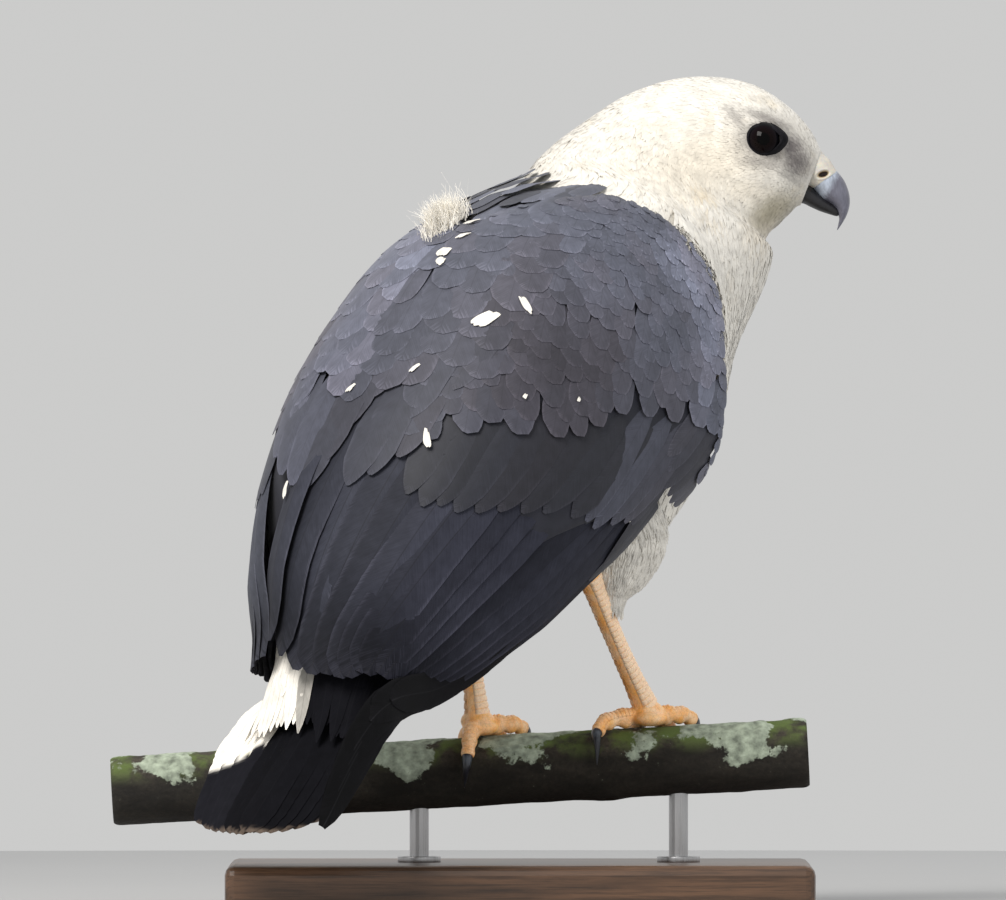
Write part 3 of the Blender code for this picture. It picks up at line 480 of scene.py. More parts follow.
class Coat:
    """Gathers the vanes of one piece, then makes its mesh."""

    def __init__(self, sides):
        self.cuts = CUTS[sides]
        self.points, self.faces, self.tints = [], [[] for _ in range(3)], []
        self.maps, self.vanes, self.shares = [], [], []
        self.size = self.celled = 0

    def add(self, grid, along, half, root_map, tint, mirrored=False):
        """Adds vanes from a grid of points (vane, row, cut). along is each row's millimetres from the
        root, half its half width in millimetres, root_map the corner and the size of each vane's patch
        on the baking map, and tint each point's colour or each vane's."""
        count, rows, sides = grid.shape[:3]
        across = np.asarray(self.cuts[0], float)
        shape = (count, rows, sides)
        x = np.broadcast_to(half[..., None] * across, shape)
        y = np.broadcast_to(along[..., None], shape)
        corner, size = root_map
        u = corner[:, None, None, 0] + size[:, None, None, 0] * np.broadcast_to(0.5 + 0.46 * across, shape)
        reach = np.broadcast_to(y / np.maximum(along[:, -1:, None], 1e-6), shape)
        v = corner[:, None, None, 1] + size[:, None, None, 1] * (0.04 + 0.92 * reach)
        tint = np.asarray(tint, float)
        if tint.ndim == 2:
            tint = tint[:, None, None, :]
        self.points.append(grid.reshape(-1, 3))
        self.maps.append(np.stack([u, v], -1).reshape(-1, 2))
        self.vanes.append(np.stack([x, y], -1).reshape(-1, 2))
        self.shares.append(np.stack([np.broadcast_to(across, shape), reach], -1).reshape(-1, 2))
        self.tints.append(np.broadcast_to(tint, shape + (3,)).reshape(-1, 3))
        starts = self.size + np.arange(count)[:, None, None] * rows * sides
        for kept, rows_of_faces in zip(self.faces, ring_faces(rows, sides)):
            turned = rows_of_faces if mirrored else rows_of_faces[:, ::-1]
            kept.append((starts + turned[None]).reshape(-1, turned.shape[1]))
        self.size += count * rows * sides

    def cells(self, count, pitch, top=1.0):
        """The next free cells of a grid on the baking map, as corners and sizes, one for each vane."""
        columns = int(1 / pitch)
        number = self.celled + np.arange(count)
        self.celled += count
        corner = np.stack([number % columns * pitch, top - (number // columns + 1) * pitch], -1)
        return corner + 0.03 * pitch, np.full((count, 2), 0.94 * pitch)

    def make(self, name, finish):
        faces = [np.concatenate(kept) for kept in self.faces]
        made = new_object(name, np.concatenate(self.points), faces, finish, np.concatenate(self.maps),
                          np.concatenate(self.vanes), np.concatenate(self.shares), np.concatenate(self.tints))
        select_only(made)
        bpy.ops.object.shade_smooth_by_angle(angle=math.radians(50))
        return made


# The side of a small feather's patch on the baking map, at its root's place.
ROOT_PATCH = 0.003


def body_map(t, angle):
    """The place of a root on the unwrap of the body: round it across, along it upwards."""
    return np.stack([((angle / (2 * math.pi)) % 1.0) * BODY_WIDE + 0.01, (t + 1) / 19.5 * 0.7 + 0.29], -1)


def lie(coat, t, angle, length, half, lifts, tint, heading=0.0, over_wing=0.0, tilt=0.0, rows=4,
        outline=lancet, thick=0.3 * MM, hand=1.0, root_map=None):
    """Lays vanes along the body from their roots towards the tail.

    lifts are the heights at the root, the middle and the tip, tilt raises the lower edge, and heading
    turns the vane towards the belly in radians. root_map is its place on the baking map, where that isn't
    its root's.
    """
    count = len(t)
    places = np.linspace(0, 1, rows) ** 0.85
    length, half, heading = (np.broadcast_to(np.asarray(value, float), (count,))
                             for value in (length, half, heading))
    lifts = [np.broadcast_to(np.asarray(value, float), (count,)) for value in lifts]
    cuts, heights = (np.asarray(values, float) for values in coat.cuts)
    grid = np.zeros((count, rows, len(cuts), 3))
    halves = np.zeros((count, rows))
    for row, u in enumerate(places):
        if row:
            step = (u - places[row - 1]) * length
            per_station, per_turn = metric(t, angle, over_wing)
            t = t - np.cos(heading) * step / per_station
            angle = angle + hand * np.sin(heading) * step / per_turn
        _, per_turn = metric(t, angle, over_wing)
        wide = half * outline(u)
        lift = np.where(u < 0.5, lifts[0] + (lifts[1] - lifts[0]) * 2 * u,
                        lifts[1] + (lifts[2] - lifts[1]) * (2 * u - 1))
        body = math.sin(math.pi * min(1.0, 0.25 + 0.6 * u)) * thick
        for cut, (c, h) in enumerate(zip(cuts, heights)):
            high = lift + tilt * c + h * body
            grid[:, row, cut] = skin(t, angle + hand * c * wide / per_turn, high, over_wing)
        halves[:, row] = wide / MM
        if row == 0 and root_map is None:
            root_map = body_map(t, angle) - ROOT_PATCH / 2, np.full((count, 2), ROOT_PATCH)
    along = places[None, :] * length[:, None] / MM
    coat.add(grid, along, halves, root_map, tint, hand < 0)


def scatter(first_t, last_t, first_angle, last_angle, spacing, rng, keep=None, over_wing=0.0, grow=None):
    """Roots spread evenly over a stretch of the body, as stations and angles in radians.

    grow(t, angle) multiplies the spacing, and keep(t, angle) drops the roots where it is false.
    """
    cells = 180
    t, angle = np.meshgrid(np.linspace(first_t, last_t, cells), np.linspace(first_angle, last_angle, cells),
                           indexing="ij")
    place = skin(t, angle, 0, over_wing)
    area = np.linalg.norm(np.cross(np.gradient(place, axis=0), np.gradient(place, axis=1)), axis=-1)
    share = spacing * (grow(t, angle) if grow else np.ones_like(t))
    weight = (area / share**2).ravel()
    tries = int(weight.sum() * 5)
    cell = np.searchsorted(np.cumsum(weight) / weight.sum(), rng.random(tries))
    cell = np.minimum(cell, t.size - 1)
    t = t.ravel()[cell] + (rng.random(tries) - 0.5) * (last_t - first_t) / cells
    angle = angle.ravel()[cell] + (rng.random(tries) - 0.5) * (last_angle - first_angle) / cells
    if keep is not None:
        kept = keep(t, angle)
        t, angle = t[kept], angle[kept]
    place = skin(t, angle, 0, over_wing)
    reach = spacing * (grow(t, angle) if grow else np.ones_like(t)) * 0.84
    width = float(reach.max())
    bins, chosen = {}, []
    keys = np.floor(place / width).astype(int)
    around = [(i, j, k) for i in (-1, 0, 1) for j in (-1, 0, 1) for k in (-1, 0, 1)]
    for number in range(len(t)):
        x, y, z = place[number]
        a, b, c = keys[number]
        least = reach[number] ** 2
        free = True
        for i, j, k in around:
            for px, py, pz in bins.get((a + i, b + j, c + k), ()):
                if (px - x) ** 2 + (py - y) ** 2 + (pz - z) ** 2 < least:
                    free = False
                    break
            if not free:
                break
        if free:
            bins.setdefault((a, b, c), []).append((x, y, z))
            chosen.append(number)
    return t[chosen], angle[chosen]


# Markings, shared by the skin and the coat

def profile(px, py):
    """Millimetres in the head's profile for a point of the plan drawing, 2.4 units a millimetre."""
    return (px - 520) / 2.4, 28 + (838 - py) / 2.4


# Grey of the face, and in the second row a painted shadow under the brow: the place in the profile, the two
# radii, the slope in degrees and the strength.
FACE_GREY_AND_BROW_SHADE = (
    ((769, 142), 12.8, 10.2, -10, 0.85),
    # painted shadow under the brow
    ((768, 118), 11.0, 2.6, -20, 0.75),
    ((736, 117), 7.5, 3.0, -50, 0.5),
    ((792, 145), 6.5, 5.5, -45, 1.0),
    ((797, 160), 7.0, 8.0, 20, 0.95),
    ((764, 162), 12.0, 3.2, -8, 0.6),
    ((792, 178), 7.0, 2.0, -30, 0.45),
)
# Painted shade under the chin and along the jaw, with a slight olive tint of its own.
THROAT_SHADE_AND_TINT = ((774, 211), 12.0, 7.0, 35, 0.8)
# Buff mottling of the head and neck, given like the grey; the third row is a painted shadow in a pit between
# the neck's feathers.
BUFF_AND_NECK_SHADE = (((700, 165), 28, 16, 10, 0.55), ((655, 128), 16, 6, 0, 0.35), ((702, 196), 6.0, 4.0, -20, 1.0),
              ((640, 152), 18, 4, -12, 0.35), ((742, 190), 14, 7, -10, 0.45), ((760, 235), 8, 12, 0, 0.5))


def mark_strength(x, z, rows):
    found = np.zeros_like(x)
    for (px, py), long, short, slope, strength in rows:
        mx, mz = profile(px, py)
        turn = math.radians(slope)
        ahead, over = x - mx, z - mz
        u = (ahead * math.cos(turn) + over * math.sin(turn)) / long
        v = (-ahead * math.sin(turn) + over * math.cos(turn)) / short
        found = np.maximum(found, strength * np.exp(-((u * u + v * v) ** 1.3)))
    return found


def white_plumage(t, points, colours):
    """The colour of the white parts at each root: cream mottling, a grey face with a painted shadow under the
    brow, and painted shade on the throat and in a pit of the neck.
    """
    x, z = points[:, 0] / MM, points[:, 2] / MM
    white, cream, grey = (np.array(value) for value in (colours.white, colours.cream, colours.face_grey))
    mottle = soft(patches(points, 9 * MM, 1) * 0.6 + patches(points, 3.2 * MM, 2) * 0.4, 0.5, 0.78)
    head = soft(t, 9.0, 10.5)
    amount = mottle * (0.16 + 0.34 * head * (1 - soft(z, 334, 341)))
    # Buff mottling, and one painted shadow in a pit of the neck.
    amount = np.maximum(amount, mark_strength(x, z, BUFF_AND_NECK_SHADE) * head)
    found = white + (cream - white) * amount[:, None]
    # Grey of the face, with a painted shadow under the brow.
    face = mark_strength(x, z, FACE_GREY_AND_BROW_SHADE) * soft(t, 12.5, 13.5)
    face = np.clip(face * (0.85 + 0.35 * patches(points, 1.6 * MM, 3)), 0, 1)
    found = found + (grey - found) * face[:, None]
    # Painted shade on the throat, with a slight olive tint.
    throat = mark_strength(x, z, (THROAT_SHADE_AND_TINT,)) * soft(t, 10.8, 12.0)
    olive = np.array([0.30, 0.265, 0.18])
    return found + (olive - found) * throat[:, None]


def vary(colours_found, rng, amount):
    """Each vane's own small difference of tone."""
    return colours_found * (1 + amount * rng.normal(size=(len(colours_found), 1))).clip(0.6, 1.3)


# Materials

def put(socket, value):
    """Links a socket to another, or sets its value."""
    if isinstance(value, bpy.types.NodeSocket):
        socket.id_data.links.new(value, socket)
    else:
        socket.default_value = (*value, 1.0) if isinstance(value, tuple) and len(value) == 3 and \
            socket.type == "RGBA" else value


def shader_of(made):
    return made.node_tree.nodes["Principled BSDF"]


def finish(name, **values):
    """A new material with its shader's plain values set. Returns it and its tree."""
    made = bpy.data.materials.new(name)
    made.use_nodes = True
    for key, value in values.items():
        put(shader_of(made).inputs[key.replace("_", " ")], value)
    return made, made.node_tree


def add(tree, kind, values=None, **settings):
    """Adds a node with its settings and its inputs, which are named or numbered."""
    node = tree.nodes.new("ShaderNode" + kind)
    for key, value in settings.items():
        setattr(node, key, value)
    for key, value in (values or {}).items():
        put(node.inputs[key], value)
    return node


def mix(tree, factor, first, second, blend="MIX"):
    node = add(tree, "Mix", {0: factor, 6: first, 7: second}, data_type="RGBA", blend_type=blend)
    return node.outputs[2]


def shade(tree, colour, tone):
    """The colour, darkened or lightened by a tone."""
    return mix(tree, 1.0, colour, tone, "MULTIPLY")


def paint(made, colour, normal=None):
    """Gives a material its colour and the normal that its bumps turn, and returns it."""
    put(shader_of(made).inputs["Base Color"], colour)
    if normal is not None:
        put(shader_of(made).inputs["Normal"], normal)
    return made


def attribute(tree, name):
    return add(tree, "Attribute", attribute_name=name).outputs["Fac"]


def calc(tree, operation, first, second=0.0):
    return add(tree, "Math", {0: first, 1: second}, operation=operation).outputs[0]


def ramp(tree, value, *stops):
    """A colour ramp through stops of place and grey or colour."""
    node = add(tree, "ValToRGB", {0: value})
    points = node.color_ramp.elements
    while len(points) < len(stops):
        points.new(0.5)
    for point, (place, colour) in zip(points, stops):
        point.position = place
        point.color = (*(colour if isinstance(colour, tuple) else (colour,) * 3), 1.0)
    return node.outputs[0]


def noise_value(tree, vector, scale, detail=4.0, rough=0.55):
    values = {"Vector": vector, "Scale": scale, "Detail": detail, "Roughness": rough}
    return add(tree, "TexNoise", values).outputs[0]


def cracks(tree, vector, scale):
    """The distance to the nearest edge between cells."""
    return add(tree, "TexVoronoi", {"Vector": vector, "Scale": scale}, feature="DISTANCE_TO_EDGE").outputs[0]


def bump(tree, height, strength, distance, normal=None):
    values = {"Strength": strength, "Distance": distance, "Height": height}
    if normal is not None:
        values["Normal"] = normal
    return add(tree, "Bump", values).outputs[0]


def object_place(tree, stretch=(1, 1, 1)):
    coords = add(tree, "TexCoord").outputs["Object"]
    if stretch == (1, 1, 1):
        return coords
    return add(tree, "Mapping", {"Vector": coords, "Scale": stretch}).outputs[0]


def tint_of(tree):
    return add(tree, "Attribute", attribute_name="tint").outputs["Color"]


def rise(tree, value, low, high):
    """A smooth step of a value from 0 at low to 1 at high, or falling where low is above high."""
    return add(tree, "MapRange", {"Value": value, "From Min": low, "From Max": high},
               interpolation_type="SMOOTHSTEP").outputs["Result"]


def feather_finish(name, roughness, sheen, streak, fringe=0.0, shaft=0.0, gloss=0.3):
    """A vane: its tint, streaked along its barbs, with a dark shaft and a pale worn fringe."""
    made, tree = finish(name, Roughness=roughness, Sheen_Weight=sheen, Sheen_Roughness=0.45,
                        Specular_IOR_Level=gloss)
    colour = tint_of(tree)
    split = add(tree, "SeparateXYZ", {0: add(tree, "UVMap", uv_map="Vane").outputs[0]})
    off = calc(tree, "ABSOLUTE", split.outputs[0])
    barb = calc(tree, "ADD", split.outputs[1], calc(tree, "MULTIPLY", off, -1.2))
    vector = add(tree, "CombineXYZ", {
        0: calc(tree, "MULTIPLY", barb, 1.7), 1: calc(tree, "MULTIPLY", off, 0.14), 2: colour}).outputs[0]
    lines = noise_value(tree, vector, 1.0, 3.0, 0.6)
    tone = ramp(tree, lines, (0.28, 1 - streak), (0.55, 1.0), (0.8, 1 + 0.6 * streak))
    cloud = noise_value(tree, object_place(tree), 190.0, 4.0)
    colour = shade(tree, colour, tone)
    colour = shade(tree, colour, ramp(tree, cloud, (0.3, 0.84), (0.7, 1.12)))
    if shaft:
        line = calc(tree, "MULTIPLY", rise(tree, off, 0.34, 0.1), shaft)
        colour = mix(tree, line, colour, (0.012, 0.012, 0.014))
    if fringe:
        share = add(tree, "SeparateXYZ", {0: add(tree, "UVMap", uv_map="Share").outputs[0]})
        wear = calc(tree, "MULTIPLY", calc(tree, "SUBTRACT", lines, 0.5), 0.5)
        side = rise(tree, calc(tree, "ADD", calc(tree, "ABSOLUTE", share.outputs[0]), wear), 0.80, 1.0)
        side = calc(tree, "MULTIPLY", side, rise(tree, share.outputs[1], 0.3, 0.75))
        end = rise(tree, calc(tree, "ADD", share.outputs[1], wear), 0.93, 1.0)
        worn = calc(tree, "MULTIPLY", calc(tree, "MAXIMUM", side, end), fringe)
        colour = mix(tree, worn, colour, shade(tree, colour, (4.0, 3.8, 3.7)))
    return paint(made, colour, bump(tree, lines, 0.3, 0.1 * MM))


def skin_finish():
    """The skin under the coat: the coat's own tint, in patches like down."""
    made, tree = finish("down and skin", Roughness=0.85, Sheen_Weight=0.3)
    down = noise_value(tree, object_place(tree), 700.0, 5.0, 0.7)
    colour = shade(tree, tint_of(tree), ramp(tree, down, (0.3, 0.7), (0.7, 1.0)))
    return paint(made, colour, bump(tree, down, 0.6, 0.4 * MM))


def lid_finish():
    made, tree = finish("bare lid skin", Roughness=0.8, Specular_IOR_Level=0.12)
    place = object_place(tree)
    wrinkle = cracks(tree, place, 1500.0)
    tone = noise_value(tree, place, 420.0)
    colour = ramp(tree, tone, (0.3, (0.003, 0.003, 0.004)), (0.7, (0.012, 0.011, 0.014)))
    return paint(made, colour, bump(tree, wrinkle, 0.5, 0.15 * MM))


def eye_finish(colours):
    """A nearly black brown iris round the pupil, under a clear wet surface. off is the share of the way
    from the middle of the eye to its rim."""
    made, tree = finish("dark brown eye", Roughness=0.04, IOR=1.38, Specular_IOR_Level=0.12)
    off = attribute(tree, "off")
    streaks = noise_value(tree, object_place(tree), 2600.0, 3.0)
    iris = shade(tree, (*colours.eye,), ramp(tree, streaks, (0.3, 0.5), (0.7, 1.6)))
    rim = mix(tree, ramp(tree, off, (0.62, 0.0), (0.82, 1.0)), iris, (0.004, 0.002, 0.003))
    ring = mix(tree, ramp(tree, off, (0.86, 0.0), (0.95, 1.0)), rim, (0.003, 0.003, 0.004))
    pupil = ramp(tree, off, (0.40, 1.0), (0.47, 0.0))
    return paint(made, mix(tree, pupil, ring, (0.001, 0.001, 0.001)))


def cere_finish(colours):
    made, tree = finish("cere skin", Roughness=0.48, Subsurface_Weight=0.08, Subsurface_Scale=0.6 * MM)
    place = object_place(tree)
    mottle = noise_value(tree, place, 380.0, 5.0)
    colour = mix(tree, ramp(tree, mottle, (0.35, 0.0), (0.75, 1.0)), (*colours.cere,), (0.45, 0.43, 0.42))
    near = attribute(tree, "off")
    rim = mix(tree, ramp(tree, near, (0.0, 1.0), (0.5, 0.0)), colour, (0.40, 0.29, 0.15))
    # The nostril's hole is painted near black: painted shade in the recess.
    inside = mix(tree, ramp(tree, near, (0.0, 1.0), (0.12, 0.0)), rim, (0.012, 0.004, 0.004))
    grain = add(tree, "TexVoronoi", {"Vector": place, "Scale": 1100.0}).outputs[0]
    return paint(made, inside, bump(tree, grain, 0.4, 0.12 * MM))


def horn_finish(name, dark, pale, pale_place, gloss):
    """Horn from dark to pale: pale_place is the attribute that says where it pales."""
    made, tree = finish(name, Roughness=gloss, Coat_Weight=0.25, Coat_Roughness=0.25)
    place = object_place(tree, (1, 1, 0.3))
    streak = noise_value(tree, place, 900.0, 5.0, 0.6)
    paling = attribute(tree, pale_place)
    worn = calc(tree, "ADD", paling, calc(tree, "MULTIPLY", calc(tree, "SUBTRACT", streak, 0.5), 0.5))
    colour = mix(tree, ramp(tree, worn, (0.25, 0.0), (0.8, 1.0)), dark, pale)
    colour = shade(tree, colour, ramp(tree, streak, (0.3, 0.72), (0.7, 1.18)))
    return paint(made, colour, bump(tree, streak, 0.25, 0.1 * MM))


def leg_finish(colours):
    """Scaly skin: pale worn plates, orange between them and brown dirt in the joints."""
    made, tree = finish("orange leg scales", Roughness=0.46, Coat_Weight=0.12, Coat_Roughness=0.35,
                        Subsurface_Weight=0.06, Subsurface_Scale=0.8 * MM)
    place = object_place(tree)
    cells = cracks(tree, place, 620.0)
    patch = noise_value(tree, place, 170.0, 4.0)
    tint = tint_of(tree)
    colour = mix(tree, ramp(tree, patch, (0.35, 0.0), (0.72, 0.75)), tint, (*colours.leg_pale,))
    seams = ramp(tree, cells, (0.0, 0.75), (0.07, 1.0))
    colour = shade(tree, colour, seams)
    dirt = noise_value(tree, place, 330.0, 6.0, 0.7)
    colour = mix(tree, ramp(tree, dirt, (0.6, 0.0), (0.8, 0.5)), colour, (0.16, 0.07, 0.03))
    first = bump(tree, cells, 0.7, 0.25 * MM)
    return paint(made, colour, bump(tree, dirt, 0.3, 0.15 * MM, first))


def bark_finish(colours):
    """Cracked bark with moss and lichen where the attribute top is high, and painted shade on the bark where
    top is low.
    """
    made, tree = finish("lichened bark", Roughness=0.92)
    place = object_place(tree, (0.45, 1, 1))
    coarse = noise_value(tree, place, 95.0, 8.0, 0.65)
    fine = noise_value(tree, object_place(tree), 620.0, 6.0, 0.7)
    bark = mix(tree, ramp(tree, coarse, (0.35, 0.0), (0.68, 1.0)), (*colours.bark,), (0.075, 0.062, 0.046))
    bark = shade(tree, bark, ramp(tree, fine, (0.3, 0.5), (0.7, 1.25)))
    top = attribute(tree, "top")
    crust = attribute(tree, "crust")
    # Painted shade: the bark darkens towards the branch's underside.
    bark = shade(tree, bark, ramp(tree, top, (0.0, 0.35), (0.6, 1.0)))
    moss_here = calc(tree, "MULTIPLY", top, ramp(tree, noise_value(tree, object_place(tree), 75.0, 5.0),
                                                 (0.42, 0.0), (0.56, 1.0)))
    colour = mix(tree, moss_here, bark, (*colours.moss,))
    frill = calc(tree, "ADD", crust, calc(tree, "MULTIPLY", calc(tree, "SUBTRACT", fine, 0.5), 2.2))
    tone = ramp(tree, noise_value(tree, object_place(tree), 260.0, 5.0), (0.3, 0.4), (0.72, 1.25))
    lichen = shade(tree, (*colours.lichen,), tone)
    colour = mix(tree, ramp(tree, frill, (0.38, 0.0), (0.72, 1.0)), colour, lichen)
    first = bump(tree, coarse, 0.9, 1.2 * MM)
    return paint(made, colour, bump(tree, fine, 0.8, 0.5 * MM, first))


def cut_wood_finish():
    """The sawn ends of the perch: rings round the heart, darker at the bark."""
    made, tree = finish("sawn branch end", Roughness=0.8)
    off = attribute(tree, "off")
    wobble = noise_value(tree, object_place(tree), 120.0, 3.0)
    from_heart = calc(tree, "ADD", off, calc(tree, "MULTIPLY", wobble, 0.12))
    rings = calc(tree, "SINE", calc(tree, "MULTIPLY", from_heart, 85.0))
    wood = mix(tree, ramp(tree, rings, (0.0, 0.0), (1.0, 1.0)), (0.30, 0.19, 0.10), (0.47, 0.33, 0.19))
    saw = noise_value(tree, object_place(tree, (1, 1, 12)), 240.0, 3.0)
    wood = shade(tree, wood, ramp(tree, saw, (0.3, 0.75), (0.7, 1.1)))
    colour = mix(tree, ramp(tree, off, (0.88, 0.0), (0.95, 1.0)), wood, (0.06, 0.042, 0.028))
    return paint(made, colour, bump(tree, saw, 0.4, 0.3 * MM))


def base_wood_finish(colours):
    """Dark stained hardwood, grained along the base, under a satin varnish."""
    made, tree = finish("dark stained wood", Roughness=0.38, Coat_Weight=0.3, Coat_Roughness=0.22)
    place = object_place(tree, (0.08, 1, 1))
    grain = noise_value(tree, place, 130.0, 8.0, 0.62)
    pores = noise_value(tree, object_place(tree, (0.03, 1, 1)), 900.0, 4.0, 0.7)
    dark = tuple(value * 0.45 for value in colours.stand_wood)
    light = tuple(min(1.0, value * 1.7) for value in colours.stand_wood)
    colour = mix(tree, ramp(tree, grain, (0.32, 0.0), (0.7, 1.0)), dark, light)
    colour = shade(tree, colour, ramp(tree, pores, (0.38, 0.55), (0.52, 1.0)))
    return paint(made, colour, bump(tree, pores, 0.25, 0.15 * MM))


def metal_finish(colours):
    """Steel brushed along the rods."""
    made, tree = finish("brushed steel", Metallic=1.0)
    brushed = noise_value(tree, object_place(tree, (1, 1, 0.03)), 2600.0, 3.0)
    colour = shade(tree, (*colours.stand_metal,), ramp(tree, brushed, (0.3, 0.82), (0.7, 1.08)))
    put(shader_of(made).inputs["Roughness"], ramp(tree, brushed, (0.3, 0.26), (0.7, 0.42)))
    return paint(made, colour, bump(tree, brushed, 0.12, 0.05 * MM))


def set_attribute(made, name, values):
    layer = made.data.attributes.new(name, "FLOAT", "POINT")
    layer.data.foreach_set("value", np.asarray(values, np.float32))


def move_vertices(made, points):
    made.data.vertices.foreach_set("co", np.asarray(points, np.float32).ravel())


def vertices_of(made):
    found = np.zeros(len(made.data.vertices) * 3, np.float32)
    made.data.vertices.foreach_get("co", found)
    return found.reshape(-1, 3).astype(float)


# Skin, lids and thighs

COAT_DEPTH = ((2, 0.8), (5, 0.9), (9, 0.5), (12, 0.3), (14, 0.25), (18, 0.22))
FEET = {
    "right": {"x": 54.0, "hock": (30, -32, 134),
              "hallux": (((-3, 3), (-11, 12), (-18, 26), (-21, 46)), (-22, 90))},
    "left": {"x": -16.5, "hock": (-22, -3, 130),
             "hallux": (((-1, 10), (-3, 32), (-4, 52), (-5, 70)), (-7, 112))},
}
# The feathered thigh: millimetres forward of the hock and over it, and radius.
THIGH = ((10, 48, 10), (15, 34, 17), (17.5, 19, 19), (15.5, 8, 15), (13.0, -1, 10), (12.0, -7.5, 3.5))
THIGH_CORE = 0.86
# Widths on the baking map of the body's unwrap and of each thigh's.
BODY_WIDE, THIGH_WIDE = 0.98, 0.44


def eye_centre(side):
    depth = head_side(EYE_X * MM, EYE_Z * MM) + 1.0 * MM - EYE_SINK
    return np.array([EYE_X * MM, HEAD_MIDPLANE - side * depth, EYE_Z * MM])


def thigh_path(side, count):
    """Points down the middle of the thigh and its radius there."""
    hock = np.array(FEET[side]["hock"]) * MM
    places = [hock + FORWARD * ahead * MM + UP * over * MM for ahead, over, _ in THIGH]
    radii = [radius * MM for _, _, radius in THIGH]
    at = np.linspace(0, len(THIGH) - 1, count)
    return curve_points(places, count), np.interp(at, range(len(THIGH)), radii)


def thigh_map(side, along, around):
    """The place of a thigh's point on the baking map, in a strip below the body's."""
    first = 0.02 if side == "right" else 0.52
    return np.stack([first + THIGH_WIDE * (around % 1.0), 0.02 + 0.24 * along], -1)


class HAWK_OT_skin(bpy.types.Operator):
    """Makes the one skin under the coat, from the tail's root to the face, with both thighs"""

    bl_idname = "hawk.skin"
    bl_label = "Skin"

    def execute(self, context):
        colours = context.scene.hawk_coat_colours
        down = skin_finish()
        rows, sides = 150, 96
        t = np.linspace(TAIL_END, HEAD_END, rows)[:, None] * np.ones((1, sides))
        angle = full_turn(sides)[None, :] * np.ones((rows, 1))
        rings = skin(t, angle, -table(t, COAT_DEPTH) * MM)
        tint = white_plumage(t.ravel(), rings.reshape(-1, 3), colours)
        # The skin at the tail's root is painted black on the right side only: painted shade under the near
        # wing.
        tint = tint + (np.array(colours.black) - tint) * (
            soft(t, 3.5, 3.2) * soft(angle, 0.03, 0.14) * soft(angle, 1.75, 1.6)).reshape(-1, 1)
        body = loft("skin", rings, down, uv=body_map(t, angle).reshape(-1, 2), tint=tint)
        close_seam(body, BODY_WIDE)
        thighs = []
        for side in FEET:
            rows, sides = 24, 36
            path, radii = thigh_path(side, rows)
            around = full_turn(sides) / (2 * math.pi)
            along, around = np.meshgrid(np.linspace(0, 1, rows), around, indexing="ij")
            thigh = loft("thigh", tube_rings(path, radii * THIGH_CORE, sides, up=FORWARD), down,
                         uv=thigh_map(side, along, around).reshape(-1, 2),
                         tint=np.tile(np.array(colours.white) * 0.8, (rows * sides, 1)))
            thighs.append(close_seam(thigh, THIGH_WIDE))
        for thigh in thighs:
            union = body.modifiers.new("thigh", "BOOLEAN")
            union.operation = "UNION"
            union.solver = "EXACT"
            union.object = thigh
            select_only(body)
            bpy.ops.object.modifier_apply(modifier=union.name)
            bpy.data.objects.remove(thigh)
        body.data.shade_smooth()
        show(body, "white_feathers", "torso", "neck", "head", "thigh_left", "thigh_right")
        lids = self.lids()
        show(lids, "white_feathers")
        return {"FINISHED"}

    def lids(self):
        """The bare rims round both eyes, drawn out a little before and behind."""
        profile_rows = ((6.05, 4.2), (6.3, 4.5), (6.7, 4.5), (7.2, 3.9), (7.9, 2.6), (8.8, 0.6), (8.2, -0.6),
                        (7.0, 2.4), (6.1, 3.5))
        turn = full_turn(72)
        made = []
        for side in (1, -1):
            rings = []
            for radius, high in profile_rows:
                away = soft(radius, 6.5, 9.0)
                wide = radius * MM * (1 + 0.2 * np.abs(np.cos(turn)) ** 6 * (np.cos(turn) > 0))
                tall = radius * MM * (0.93 - 0.14 * np.sin(turn).clip(0, 1) * (1.2 + np.cos(turn)) / 2)
                fold = 0.12 * MM * np.sin(9 * turn + radius * 2)
                deep = -side * (high * MM + fold * away)
                ring = np.stack([np.cos(turn) * wide, deep, np.sin(turn) * tall], -1)
                rings.append(ring + eye_centre(side))
            made.append(loft("lids", np.swapaxes(np.array(rings), 0, 1), lid_finish(), closed=True))
        return join(*made)


class HAWK_OT_eyes(bpy.types.Operator):
    """Makes both eyes, each a ball with a raised clear front over a dark brown iris"""

    bl_idname = "hawk.eyes"
    bl_label = "Eyes"

    def execute(self, context):
        look = eye_finish(context.scene.hawk_bare_colours)
        for side, name in ((1, "eye_right"), (-1, "eye_left")):
            ball = primitive("uv_sphere", name + "_ball", segments=64, ring_count=48, radius=EYE_RADIUS,
                             location=eye_centre(side), rotation=(side * math.pi / 2, 0, 0))
            points = vertices_of(ball) - eye_centre(side)
            off = np.hypot(points[:, 0], points[:, 2]) / (6.2 * MM)
            front = points[:, 1] * -side > 0
            off = np.where(front, off, 1.5)
            points[:, 1] += -side * 0.35 * MM * np.exp(-(off / 0.6) ** 2) * front
            move_vertices(ball, points + eye_centre(side))
            set_attribute(ball, "off", np.clip(off, 0, 2))
            ball.data.materials.append(look)
            ball.data.shade_smooth()
            show(ball, "eye", name)
        return {"FINISHED"}


# Bill

